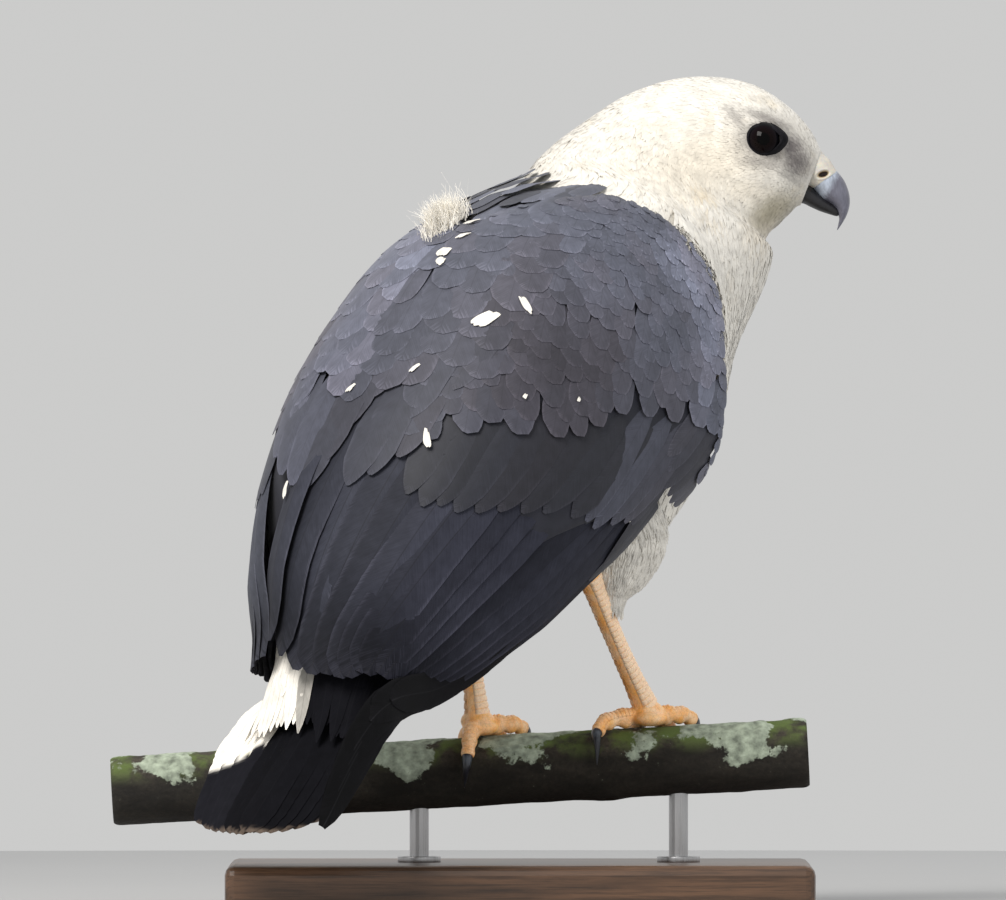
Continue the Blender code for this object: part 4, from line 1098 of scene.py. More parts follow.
# Top and bottom of each section of the profile in X and Z, and half width.
CERE_ROWS = (
    ((124.2, 317.6), (119.2, 300.0), 8.6),
    ((126.9, 314.0), (121.0, 299.8), 8.8),
    ((129.6, 311.4), (121.6, 299.4), 8.2),
    ((132.4, 306.8), (122.2, 299.2), 7.6),
    ((132.7, 306.3), (122.6, 299.0), 7.2),
)
UPPER_BILL_ROWS = (
    ((132.3, 306.3), (122.3, 298.9), 7.1),
    ((132.9, 306.3), (122.7, 298.8), 7.4),
    ((135.9, 302.3), (125.9, 294.6), 6.5),
    ((137.8, 297.2), (130.2, 292.3), 5.2),
    ((138.1, 292.6), (132.4, 289.9), 3.8),
    ((137.0, 288.4), (133.6, 286.9), 2.4),
    ((135.2, 285.0), (133.3, 284.3), 1.2),
    ((133.1, 281.9), (132.7, 281.8), 0.3),
)
LOWER_BILL_ROWS = (
    ((116.0, 301.0), (115.4, 293.0), 6.0),
    ((120.8, 301.0), (118.6, 292.9), 6.6),
    ((124.4, 298.0), (121.8, 291.4), 6.2),
    ((128.2, 294.9), (125.6, 289.7), 5.2),
    ((131.2, 292.6), (129.2, 288.5), 4.2),
    ((133.4, 290.8), (131.9, 287.7), 2.6),
    ((134.0, 289.2), (133.0, 287.6), 1.0),
)
NOSTRIL = (126.9 * MM, 305.1 * MM)


def bill_rings(rows, steps, sides, keel):
    """Rings through the bill's sections in the head's middle plane."""
    flat = curve_points([[*top, *bottom, width] for top, bottom, width in rows], steps) * MM
    turn = full_turn(sides)
    x, z, low_x, low_z, width = flat.T
    centre = np.stack([(x + low_x) / 2, np.full(steps, HEAD_MIDPLANE), (z + low_z) / 2], -1)
    half = np.stack([(x - low_x) / 2, np.zeros(steps), (z - low_z) / 2], -1)
    across = np.sign(np.sin(turn)) * np.abs(np.sin(turn)) ** (2 / keel)
    ring = centre[:, None] + np.cos(turn)[None, :, None] * half[:, None]
    ring[..., 1] -= across[None, :] * np.maximum(width, 0.15 * MM)[:, None]
    return ring


class HAWK_OT_bill(bpy.types.Operator):
    """Makes the cere with its nostrils, the hooked upper bill, the lower bill and the pale gape"""

    bl_idname = "hawk.bill"
    bl_label = "Bill"

    def execute(self, context):
        colours = context.scene.hawk_bare_colours
        rings = bill_rings(CERE_ROWS, 60, 96, 2.0)
        cere = loft("cere_skin", rings, cere_finish(colours))
        points = vertices_of(cere)
        ahead, over = (points[:, 0] - NOSTRIL[0]) / MM, (points[:, 2] - NOSTRIL[1]) / MM
        turn = math.radians(-18)
        u = (ahead * math.cos(turn) - over * math.sin(turn)) / 2.3
        v = (ahead * math.sin(turn) + over * math.cos(turn)) / 1.25
        near = np.sqrt(u * u + v * v)
        side = np.sign(HEAD_MIDPLANE - points[:, 1])
        dent = -1.9 * np.exp(-(near**4)) + 0.35 * np.exp(-(((near - 1.45) / 0.4) ** 2))
        points[:, 1] -= side * dent * MM
        move_vertices(cere, points)
        set_attribute(cere, "off", np.clip(near - 0.85, 0, 1))
        show(cere, "cere", "cere")

        upper = loft("upper_bill", bill_rings(UPPER_BILL_ROWS, 110, 72, 1.8),
                     horn_finish("upper bill horn", (*colours.bill,), (*colours.bill_pale,), "pale", 0.34))
        points = vertices_of(upper)
        x, z = points[:, 0] / MM, points[:, 2] / MM
        low = soft(x - 0.62 * (z - 300), 133.5, 127.0)
        tip = soft(z, 294, 285)
        set_attribute(upper, "pale", np.clip(0.75 * low + 0.12, 0, 1) * (1 - tip) - 0.3 * tip)
        show(upper, "bill_horn", "bill_upper")

        lower = loft("lower_bill", bill_rings(LOWER_BILL_ROWS, 60, 48, 2.2),
                     horn_finish("lower bill horn", (0.006, 0.006, 0.008), (0.04, 0.04, 0.05), "pale", 0.5))
        set_attribute(lower, "pale", np.zeros(len(lower.data.vertices)))
        show(lower, "bill_horn", "bill_lower")
        show(self.gape(colours), "cere")
        return {"FINISHED"}

    def gape(self, colours):
        """The pale fleshy rim of the mouth on both sides, from below the eye to the bill."""
        made = []
        rows = ((107.2, 305.4, 0.3), (111.0, 303.6, 0.7), (114.6, 301.6, 0.85), (118.0, 300.2, 0.6),
                (120.6, 299.8, 0.15))
        for side in (1, -1):
            path = []
            for x, z, _ in rows:
                depth = min(head_side(x * MM, z * MM), 12 * MM) if x < 117 else 7.6 * MM
                path.append((x * MM, HEAD_MIDPLANE - side * (depth + 0.1 * MM), z * MM))
            radii = np.interp(np.linspace(0, 4, 24), range(5), [row[2] * MM for row in rows])
            rings = tube_rings(curve_points(path, 24), radii, 14)
            lip = loft("gape_rim", rings, cere_finish(colours))
            set_attribute(lip, "off", np.ones(len(lip.data.vertices)))
            made.append(lip)
        return join(*made)


# White coat

# Stations down to which the neck's feathers lie, over the degrees from the back, on each side; and the
# degrees above which a wing covers the body, over the stations.
NECK_OVER_RIGHT_WING = ((0, 8.6), (10, 8.75), (18, 8.75), (26, 8.6), (76, 8.6), (93, 8.3), (120, 7.7),
                        (135, 7.0))
NECK_OVER_LEFT_WING = ((0, 7.8), (6, 8.7), (14, 9.0), (30, 9.05), (93, 8.3), (100, 7.8), (108, 7.0))
UNDER_RIGHT_WING = ((2.3, 118), (4, 116), (5.2, 122), (6.1, 130), (6.5, 136), (7.2, 126), (8.3, 112))
UNDER_LEFT_WING = ((2.3, 118), (4, 108), (8.3, 104))
# The white feathers over the wing's front edge: how many, and the degrees between which they lie.
RIM_COUNT, RIM_FROM, RIM_TO = 320, 66, 110


def feathered(t, angle):
    """True where the head carries feathers: not on the eye, the cere, the bill or the mouth."""
    place = skin(t, angle) / MM
    x, z = place[..., 0], place[..., 2]
    side = np.abs(np.sin(angle)) > 0.25
    eye = np.hypot((x - EYE_X - 0.5) / 1.08, z - EYE_Z) > 7.3
    mouth = (z - 303.4 + 0.42 * (x - 112)) ** 2 > 1.2
    return (eye | ~side) & (mouth | ~side | (x < 108)) & (t < 17.75)


def nearness(points):
    """0 beside the eye and the bill, rising to 1 where the head's feathers have their full length."""
    x, z = points[..., 0] / MM, points[..., 2] / MM
    eye = np.hypot(x - EYE_X, z - EYE_Z) - 7.5
    bill = np.hypot(x - 124, z - 304) - 9
    return soft(np.minimum(eye, bill), 0.0, 26.0)


def roots_of(t, angle, length, heading, over_wing=1.0):
    """The roots of feathers whose tips are given, with angles on the right side."""
    for _ in range(6):
        per_station, per_turn = metric(t, angle, over_wing)
        t = t + np.cos(heading) * length / 6 / per_station
        angle = angle - np.sin(heading) * length / 6 / per_turn
    return t, angle


def tuft(coat, t, angle, length, half, lifts, tint, rng, strands, fan, loose, **more):
    """Several lancets from each root, fanned a little, so that each feather has a soft split end."""
    count = len(t)
    for strand in range(strands):
        spread = (strand - (strands - 1) / 2) / max(1, strands - 1)
        turn = spread * fan * 2 + rng.normal(size=count) * fan * 0.45
        reach = length * (1 - 0.22 * abs(spread) + 0.12 * rng.normal(size=count)).clip(0.6, 1.25)
        rise = [lifts[0], lifts[1] + loose * 0.4 * rng.random(count), lifts[2] + loose * rng.random(count)]
        own = vary(tint, rng, 0.03)
        aside = angle + spread * 0.5 * half / (30 * MM)
        lie(coat, t + 0.03 * rng.normal(size=count), aside, reach, half, rise, own, heading=turn, **more)


class HAWK_OT_head_coat(bpy.types.Operator):
    """Lays the small white feathers of the head and the longer ones of the neck"""

    bl_idname = "hawk.head_coat"
    bl_label = "Head and neck feathers"

    def execute(self, context):
        sizes, colours = coat_settings(context)
        look = feather_finish("white feathers", 0.8, 0.2, 0.04)
        rng = np.random.default_rng(sizes.seed)
        for side, first in (("right", 0.0), ("left", math.pi)):
            coat, last = Coat(3), first + math.pi
            t, angle = scatter(11.8, 17.85, first, last, sizes.head_spacing, rng, feathered,
                               grow=lambda t, a: 0.62 + 0.5 * nearness(skin(t, a)))
            places = skin(t, angle)
            near = nearness(places)
            length = (2.4 + 5.4 * near) * MM
            tint = white_plumage(t, self.seen(t, angle, length), colours)
            half = (0.55 + 0.65 * near) * MM
            lifts = [-table(t, COAT_DEPTH) * MM, -0.12 * MM, 0.02 * MM + 0.04 * near * MM]
            tuft(coat, t, angle, length, half, lifts, tint, rng, 2, fan=0.13, loose=0.07 * MM,
                 thick=0.06 * MM)
            show(coat.make("head_feathers_" + side, look), "white_feathers")
        for side, first in (("right", 0.0), ("left", math.pi)):
            coat, last = Coat(3), first + math.pi
            t, angle = scatter(8.0, 12.1, first, last, sizes.neck_spacing, rng, self.shows)
            far = soft(t, 12.1, 9.0)
            length = (8.0 + 8.0 * far) * MM
            tint = white_plumage(t, self.seen(t, angle, length), colours)
            lifts = [-table(t, COAT_DEPTH) * MM, (-0.15 + 0.1 * far) * MM, (0.06 + 0.2 * far) * MM]
            tuft(coat, t, angle, length, (1.0 + 0.5 * far) * MM, lifts, tint, rng, 3, fan=0.16,
                 loose=(0.08 + 0.15 * far) * MM, thick=0.07 * MM)
            show(coat.make("neck_feathers_" + side, look), "white_feathers")
        return {"FINISHED"}

    @staticmethod
    def seen(t, angle, length):
        """The place on the skin over which a feather's free end lies."""
        return skin(t - 0.65 * length / metric(t, angle)[0], angle)

    @staticmethod
    def shows(t, angle):
        """Leaves out what the wings and the far shoulder cover."""
        turned = np.degrees((angle + math.pi) % (2 * math.pi) - math.pi)
        front = np.where(turned < 0, table(-turned, NECK_OVER_LEFT_WING), table(turned, NECK_OVER_RIGHT_WING))
        return (t > front - 0.2) | (turned > 128) | (turned < -108)


class HAWK_OT_body_coat(bpy.types.Operator):
    """Lays the loose white feathers of the breast, belly, flanks and thighs"""

    bl_idname = "hawk.body_coat"
    bl_label = "Body and thigh feathers"

    def execute(self, context):
        sizes, colours = coat_settings(context)
        look = feather_finish("loose white feathers", 0.8, 0.2, 0.05)
        rng = np.random.default_rng(sizes.seed + 1)
        for name, hand in (("body_feathers_right", 1), ("body_feathers_left", -1)):
            coat = Coat(3)
            wing = UNDER_RIGHT_WING if hand > 0 else UNDER_LEFT_WING
            t, angle = scatter(2.3, 8.3, math.radians(106), math.pi, sizes.body_spacing, rng,
                               lambda t, angle: np.degrees(angle) > table(t, wing))
            self.lay(coat, t, angle * hand, colours, rng, 4)
            self.rim(coat, hand, colours, rng)
            show(coat.make(name, look), "white_feathers")
        for side in FEET:
            show(self.thigh(side, colours, rng).make("thigh_feathers_" + side, look), "white_feathers")
        return {"FINISHED"}

    @staticmethod
    def lay(coat, t, angle, colours, rng, strands):
        tint = white_plumage(t, skin(t, angle), colours)
        length = table(t, ((2, 16), (4, 24), (6, 24), (8, 18))) * MM
        lifts = [-table(t, COAT_DEPTH) * MM, 0.0, 0.5 * MM]
        tuft(coat, t, angle, length, 1.6 * MM, lifts, tint, rng, strands, fan=0.17, loose=0.9 * MM,
             thick=0.2 * MM)

    @staticmethod
    def rim(coat, hand, colours, rng):
        """White feathers of the breast's side that lie over the wing's front edge."""
        count = RIM_COUNT
        degrees = rng.uniform(RIM_FROM, RIM_TO, count)
        edge = table(degrees, FRONT_LINE)
        ahead = 0.15 + 0.6 * rng.random(count)
        over = np.interp(degrees, (66, 85, 100), (0.0, 1.5, 3.0)) * MM
        turn = np.radians(degrees) * hand
        bend = table(edge, BEND_SWELL) * MM * soft(degrees, BEND_FROM, BEND_FULL)
        high = np.minimum(wing_depth(edge) + bend + 0.3 * MM, 11 * MM) * (1 - 0.35 * ahead)
        length = over + ahead * metric(edge, turn)[0]
        tint = white_plumage(edge, skin(edge, turn), colours)
        tuft(coat, edge + ahead, turn, length, 1.6 * MM, (-0.6 * MM, 0.55 * high, high), tint, rng, 3,
             fan=0.12, loose=0.6 * MM, thick=0.2 * MM)

    @staticmethod
    def thigh(side, colours, rng):
        """The thigh's feathers hang down along it, longest at its lower end."""
        coat = Coat(3)
        path, radii = thigh_path(side, 60)
        ahead = unit(np.gradient(path, axis=0))
        across = unit(np.cross(ahead, FORWARD))
        over = np.cross(across, ahead)
        count, rows = 3400, 4
        along = rng.random(count) ** 0.9 * 0.86
        around = rng.random(count) * 2 * math.pi
        length = (13 + 4 * along + 4 * rng.random(count)) * MM
        reach = np.linalg.norm(path[-1] - path[0])
        lean = rng.normal(size=count) * 0.12
        grid = np.zeros((count, rows, 3, 3))
        for row, u in enumerate(np.linspace(0, 1, rows)):
            at = along * 0.9 + u * length / reach
            place = np.clip(at, 0, 1) * (len(path) - 1)
            whole = np.minimum(place.astype(int), len(path) - 2)
            middle = path[whole] + (path[whole + 1] - path[whole]) * (place - whole)[:, None]
            radius = np.interp(place, range(len(path)), radii)
            beyond = np.maximum(at - 1, 0) * reach
            rise = -1.2 * MM + (1.5 * MM + 0.8 * MM * rng.random(count)) * u
            wide = 1.15 * MM * lancet(u)
            for cut, (c, h) in enumerate(zip(*coat.cuts)):
                turn = around + lean * u + c * wide / np.maximum(radius, 4 * MM)
                out = np.cos(turn)[:, None] * across[whole] + np.sin(turn)[:, None] * over[whole]
                grid[:, row, cut] = (middle + out * (radius + rise + h * 0.3 * MM)[:, None]
                                     - UP * beyond[:, None])
        tint = vary(white_plumage(np.full(count, 5.0), grid[:, 0, 0], colours), rng, 0.05)
        rows_along = np.linspace(0, 1, rows)[None, :] * length[:, None] / MM
        halves = np.broadcast_to(1.15 * lancet(np.linspace(0, 1, rows)), (count, rows))
        corner = thigh_map(side, along * 0.95, around / (2 * math.pi)) - ROOT_PATCH / 2
        coat.add(grid, rows_along, halves, (corner, np.full((count, 2), ROOT_PATCH)), tint)
        return coat


# Wings

# The arm's shell: its front edge, how far that drops towards the belly, its back edge and its top and
# bottom in degrees from the back.
WING_FRONT, WING_FRONT_DROP = 8.95, 1.7
WING_BACK, WING_TOP, WING_EDGE, LEFT_WING_EDGE = 3.5, 3.0, 137.0, 112.0
WING_INNER = 1.5 * MM
SHELL_BACK = ((3, 4.0), (20, 3.5), (90, 3.5), (100, 4.3), (112, 5.0), (120, 5.8), (137, 6.1))
# Lines over the folded wing, each as degrees from the back and stations: its front edge, the lower
# edge of the small coverts, of the greater coverts and of the flight feathers.
FRONT_LINE = ((-6, 6.75), (1, 7.25), (14, 7.9), (34, 8.55), (54, 8.7), (76, 8.68), (85, 8.6), (93, 8.35),
              (99, 7.98), (112, 7.3), (122, 6.95), (127, 6.7), (137, 6.2))
COVERT_LINE = ((24, 4.35), (34, 4.46), (47, 4.64), (59, 4.85), (73, 5.2), (82, 5.6), (93, 6.3), (103, 6.7),
               (115, 6.75), (127, 6.4), (137, 6.1))
# The greater coverts: degrees, stations, length, half width, the way that they point and how light they are.
GREATER_ROWS = (
    ((36, 43, 50, 57, 64, 71, 78, 85, 92), (3.85, 3.86, 3.9, 3.96, 4.06, 4.2, 4.34, 4.5, 4.66),
     58, 8.0, 0.0, 0.42),
    ((98, 103, 108, 113), (4.76, 4.86, 5.0, 5.2), 62, 6.6, 0.16, 1.0),
    ((118, 123, 127, 131), (5.3, 5.1, 4.85, 4.6), 46, 5.4, 0.33, 0.5),
    ((106, 111, 116, 121, 126, 131), (6.1, 5.98, 5.9, 5.88, 5.9, 6.0), 44, 6.0, 0.05, 0.6),
)
SECONDARY_LINE = ((-24, 2.2), (-16, 2.02), (-6, 1.84), (4, 1.72), (15, 1.66), (46, 1.72), (54, 1.86),
                  (87, 2.08), (121, 2.45))
LEFT_SECONDARY_LINE = ((20, 1.9), (57, 1.9), (87, 2.08), (121, 2.45))
# The way that the coverts point: radians from straight back towards the belly, over the degrees.
COVERT_HEADING = ((0, 0.12), (30, 0.3), (60, 0.42), (92, 0.4), (108, 0.2), (122, 0.0), (137, -0.08))
# The wing-tip feathers, over the right of the tail and tucked under its left.
OVER_TAIL = ((4.5, 119, -2.5), (3.3, 126, 0.5), (2.4, 116, 2.5), (1.4, 72, 10.0), (-0.15, 44, 7.5))
UNDER_TAIL = ((4.5, 119, -2.5), (3.3, 124, 0.5), (2.3, 124, 2.0), (1.4, 130, 6.0), (0.8, 135, 9.0))
PRIMARY_LENGTHS = (0.70, 0.78, 0.86, 0.93, 0.98, 1.0, 0.96, 0.88)
# The far shoulder's feathers that show beyond the near wing: stations and degrees of the tips, length.
SHOULDER_TIPS = ((7.35, 4, 40), (7.5, 0, 40), (7.65, -4, 38), (7.8, -9, 36), (8.0, -14, 34),
                 (8.15, -19, 32), (8.35, -24, 28), (7.75, 7, 36), (7.9, 11, 34), (8.05, 15, 32),
                 (8.25, 19, 28), (8.45, 23, 24), (8.1, 2, 30), (8.3, -6, 28), (8.45, -14, 26))
# The pitch of the coverts' cells on the baking map.
COVERT_CELL = 0.024
# The white tuft's middle as a station and degrees, and how many strands it has.
TUFT_STATION, TUFT_DEGREES, TUFT_STRANDS = 7.26, -4.5, 2400
# White feathers that show between the dark ones: station, degrees, length, width and slant.
WHITE_SPOTS = ((5.89, 33, 10.5, 5.6, -0.5), (6.25, 38, 8.0, 4.0, 0.9), (4.42, 32.5, 6.5, 3.6, 0.5),
               (6.71, 4.5, 5.5, 4.6, 0.0), (6.55, 5.5, 4.5, 3.4, 0.2), (7.0, 7, 5.0, 2.6, -0.6),
               (5.08, 19, 5.0, 1.7, -0.4), (4.79, 0.5, 4.5, 1.6, -0.4), (3.75, -14, 8.0, 1.8, 0.1),
               (5.28, 56, 2.4, 1.3, 0.0), (5.65, 71, 2.2, 1.2, 0.0), (7.3, 5, 6.0, 2.2, -0.6))


def wing_depth(t):
    return np.interp(t, np.arange(len(WING_DEPTHS)), WING_DEPTHS)


def wing_shell(name, hand, look, colours):
    """The folded arm under the coverts: a curved shell over the body's side, thin at its rims."""
    rows, cols = 46, 46
    a, b = np.meshgrid(np.linspace(0, 1, rows), np.linspace(0, 1, cols), indexing="ij")
    angle = WING_TOP + ((WING_EDGE if hand > 0 else LEFT_WING_EDGE) - 2 - WING_TOP) * b
    front = WING_FRONT - 0.12 - WING_FRONT_DROP * np.maximum(0.0, (angle - 72) / 65) ** 1.3
    front = np.minimum(front, table(angle, FRONT_LINE) - 0.12)
    t = front + (np.maximum(WING_BACK, table(angle, SHELL_BACK)) - front) * a
    rim = np.minimum(1, 5 * np.minimum(2 * a, 1 - a) + 0.15) * np.minimum(1, 5 * np.minimum(b, 1 - b) + 0.12)
    turn = hand * np.radians(angle)
    inner = skin(t, turn, WING_INNER)
    bend = table(t, BEND_SWELL) * MM * soft(angle, BEND_FROM, BEND_FULL)
    outer = skin(t, turn, WING_INNER + (wing_depth(t) + bend - 1.7 * MM - WING_INNER) * rim**0.6)
    rings = np.concatenate([outer, inner[:, ::-1]], 1)
    tint = np.tile(np.array(colours.slate_dark) * 0.7, (rings.shape[0] * rings.shape[1], 1))
    uv = body_map(np.concatenate([t, t[:, ::-1]], 1), np.concatenate([turn, turn[:, ::-1]], 1)).reshape(-1, 2)
    vane = np.full((len(tint), 2), 3.0)
    return loft(name, rings, look, uv=uv, vane=vane, share=vane * 0, tint=tint)


def slate_plumage(t, angle, points, colours, rng, hand):
    """Slate that is light and cool on the shoulders and at the wing's front, and darker in the middle; the
    far wing is painted lighter, a painted sheen of grazing light.
    """
    slate, dark = np.array(colours.slate), np.array(colours.slate_dark)
    degrees = np.degrees(np.abs(angle))
    down = soft(t, 6.9, 3.6)
    found = slate * 1.15 + (dark * 1.3 - slate * 1.15) * (0.75 * down)[:, None]
    front = soft(table(degrees, FRONT_LINE) - t, 1.15, 0.6) * soft(degrees, 58, 78)
    front = front * (1 - 0.7 * soft(degrees, 96, 112))
    middle = np.exp(-(((t - 5.7) / 1.0) ** 2) - ((degrees - 58) / 32) ** 2) * (1 - front)
    found = found * (1 + 1.05 * front - 0.52 * middle)[:, None]
    # The far (left) wing is painted 1.7 times lighter: a painted sheen of the light that grazes it.
    if hand < 0:
        found = found * 1.7
    warm = soft(patches(points, 20 * MM, 5), 0.42, 0.7) * 0.5 + 0.9 * middle
    found = found * (1 + warm.clip(0, 1)[:, None] * np.array([0.10, -0.03, -0.08]))
    return vary(found * (0.78 + 0.44 * patches(points, 15 * MM, 6))[:, None], rng, 0.09)


def shaded_root(tint, rows, root_shade):
    """Darkens each vane towards its root with painted shade, where the feathers above it lie."""
    u = (np.linspace(0, 1, rows) ** 0.85)[None, :, None, None]
    return tint[:, None, None, :] * (root_shade + (1 - root_shade) * soft(u, 0.1, 0.75))


class HAWK_OT_wing_coverts(bpy.types.Operator):
    """Lays the coverts and scapulars of both folded wings in overlapping tiers"""

    bl_idname = "hawk.wing_coverts"
    bl_label = "Wing coverts"

    def execute(self, context):
        sizes, colours = coat_settings(context)
        look = feather_finish("slate feathers", 0.62, 0.12, 0.22, fringe=0.16, shaft=0.2, gloss=0.3)
        for name, hand in (("right", 1), ("left", -1)):
            rng = np.random.default_rng(sizes.seed + 3 + hand)
            coat = Coat(8)
            self.greater(coat, hand, colours, rng)
            self.small(coat, hand, colours, rng)
            self.long_scapulars(coat, hand, colours, rng)
            self.scapulars(coat, hand, colours, rng)
            if hand < 0:
                self.left_shoulder(coat, colours, rng)
            made = coat.make("wing_coverts_" + name, look)
            join(made, wing_shell("wing_arm", hand, look, colours))
            show(made, "slate_feathers", "wing_" + name)
        self.show_down(context, sizes, colours)
        return {"FINISHED"}

    @staticmethod
    def lay(coat, hand, tip_t, tip_angle, length, half, lifts, tilt, colours, rng, rows, turn=0.0,
            root_shade=0.88, outline=rounded, gain=1.0, heading=None):
        """Coverts given by their tips, which point the way that their tract does. They are shortened
        until their roots lie inside the wing's front edge."""
        if heading is None:
            heading = table(np.degrees(np.abs(tip_angle)), COVERT_HEADING) + turn
        heading = heading + 0.05 * rng.normal(size=len(tip_t))
        length = np.broadcast_to(length, tip_t.shape)
        for _ in range(8):
            t, angle = roots_of(tip_t, tip_angle, length, heading)
            beyond = t > table(np.degrees(np.abs(angle)), FRONT_LINE) + 0.04
            length = np.where(beyond & (length > 5 * MM), length * 0.82, length)
        t, angle = roots_of(tip_t, tip_angle, length, heading)
        half = np.minimum(half, 0.42 * length)
        tint = slate_plumage(tip_t, tip_angle, skin(tip_t, hand * tip_angle, 0, 1.0), colours, rng, hand)
        tint = tint * np.broadcast_to(gain, (len(tip_t),))[:, None]
        lift = 0.1 * MM * rng.random(len(t))
        roll = tilt + 0.05 * MM * rng.normal(size=len(t))
        lie(coat, t, hand * angle, length, half, [lifts[0] + 0 * lift, lifts[1] + lift, lifts[2] + lift],
            # painted shade towards each vane's root
            shaded_root(tint, rows, root_shade), heading=heading, over_wing=1.0, tilt=roll, rows=rows,
            outline=outline, thick=0.2 * MM, hand=hand, root_map=coat.cells(len(t), COVERT_CELL))

    def small(self, coat, hand, colours, rng):
        """From tiny feathers at the wing's front to middling ones above the greater coverts."""
        def share(t, angle):
            degrees = np.degrees(np.abs(angle))
            front, end = table(degrees, FRONT_LINE), table(degrees, COVERT_LINE)
            return ((front - t) / np.maximum(front - end, 0.3)).clip(0, 1)

        def inside(t, angle):
            degrees = np.degrees(np.abs(angle))
            inner = degrees < (128 if hand > 0 else 106)
            return inner & (t < table(degrees, FRONT_LINE) - 0.08) & (t > table(degrees, COVERT_LINE) - 0.05)

        t, angle = scatter(4.2, 8.9, math.radians(24), math.radians(WING_EDGE), 5.2 * MM, rng, inside,
                           over_wing=1.0, grow=lambda t, angle: 0.75 + 0.85 * share(t, angle) ** 0.8)
        size = share(t, angle) ** 0.8
        wild = 1 + 0.08 * rng.normal(size=len(t))
        self.lay(coat, hand, t, angle, (9.5 + 15 * size) * MM * wild, (3.3 + 4.1 * size) * MM * wild,
                 (-1.3 * MM, -0.45 * MM, -0.05 * MM), 0.05 * MM, colours, rng, 8)

    def greater(self, coat, hand, colours, rng):
        """The rows of long coverts over the roots of the flight feathers, of which the left wing has one."""
        for degrees, t, long, half, way, gain in GREATER_ROWS if hand > 0 else GREATER_ROWS[:1]:
            degrees = np.array(degrees, float) + rng.uniform(-0.6, 0.6, len(degrees))
            tip_t = np.array(t) + rng.uniform(-0.04, 0.04, len(degrees))
            self.lay(coat, hand, tip_t, np.radians(degrees), long * MM, half * MM,
                     (-1.7 * MM, -1.4 * MM, -1.15 * MM), 0.2 * MM, colours, rng, 22, root_shade=0.95,
                     outline=leaf, gain=gain, heading=way)

    def long_scapulars(self, coat, hand, colours, rng):
        """The long soft feathers that run from the back over the tertials."""
        t = np.array([3.72, 3.8, 4.05, 3.95, 4.4, 4.2, 4.75, 4.6, 5.15, 5.0])
        degrees = np.array([-4, 11, 1, 20, 4, 27, 9, 24, 13, 33]) + rng.uniform(-1, 1, 10)
        if hand < 0:
            t, degrees = t[1::2], degrees[1::2]
        self.lay(coat, hand, t, np.radians(degrees), 54 * MM, 9.6 * MM, (-1.6 * MM, -0.2 * MM, -0.2 * MM),
                 0.25 * MM, colours, rng, 24, turn=-0.2, root_shade=0.9, outline=leaf, gain=0.8)

    def scapulars(self, coat, hand, colours, rng):
        """The large feathers between the back and the wing, smaller towards the neck."""
        def inside(t, angle):
            degrees = np.degrees(np.abs(angle))
            return (t < table(degrees, FRONT_LINE) - 0.1) & (t > 4.8 + 0.012 * (degrees - 12))

        t, angle = scatter(4.6, 8.8, math.radians(-2 * hand), math.radians(39), 9.8 * MM, rng, inside,
                           over_wing=1.0, grow=lambda t, angle: 0.62 + 0.5 * soft(t, 8.6, 6.0))
        size = soft(t, 8.8, 6.2)
        wild = 1 + 0.07 * rng.normal(size=len(t))
        self.lay(coat, hand, t, angle, (18 + 20 * size) * MM * wild, (6.4 + 4.2 * size) * MM * wild,
                 (-1.6 * MM, -0.3 * MM, 0.2 * MM), 0.08 * MM, colours, rng, 11, turn=-0.1)

    @staticmethod
    def left_shoulder(coat, colours, rng):
        """Dark streaked feathers of the far shoulder, between the neck and the near wing."""
        tip_t, degrees, long = np.array(SHOULDER_TIPS).T
        count = len(tip_t)
        tip_angle = np.radians(degrees + rng.uniform(-1, 1, count))
        slate, dark = np.array(colours.slate), np.array(colours.slate_dark)
        share = np.array([0.15, 0.8, 0.4])[np.arange(count) % 3][:, None]
        tint = vary(slate * 1.5 + (dark * 0.8 - slate * 1.5) * share, rng, 0.1)
        per_station, _ = metric(tip_t, tip_angle, 1.0)
        root_lift = -np.interp(degrees, (-12, 4), (3.0, 7.5)) * MM
        low = np.interp(degrees, (-28, 8, 24), (1.4, 0.3, 2.6)) * MM
        middle_lift = -np.interp(degrees, (-2, 10), (0.6, 2.6)) * MM - low * 0.5
        lie(coat, tip_t + long * MM / per_station, tip_angle, long * MM, 5.0 * MM,
            (root_lift, middle_lift, 0.6 * MM - low), tint[:, None, None, :], over_wing=0.95,
            tilt=0.25 * MM, rows=16, outline=broad, thick=0.2 * MM, root_map=coat.cells(count, COVERT_CELL))

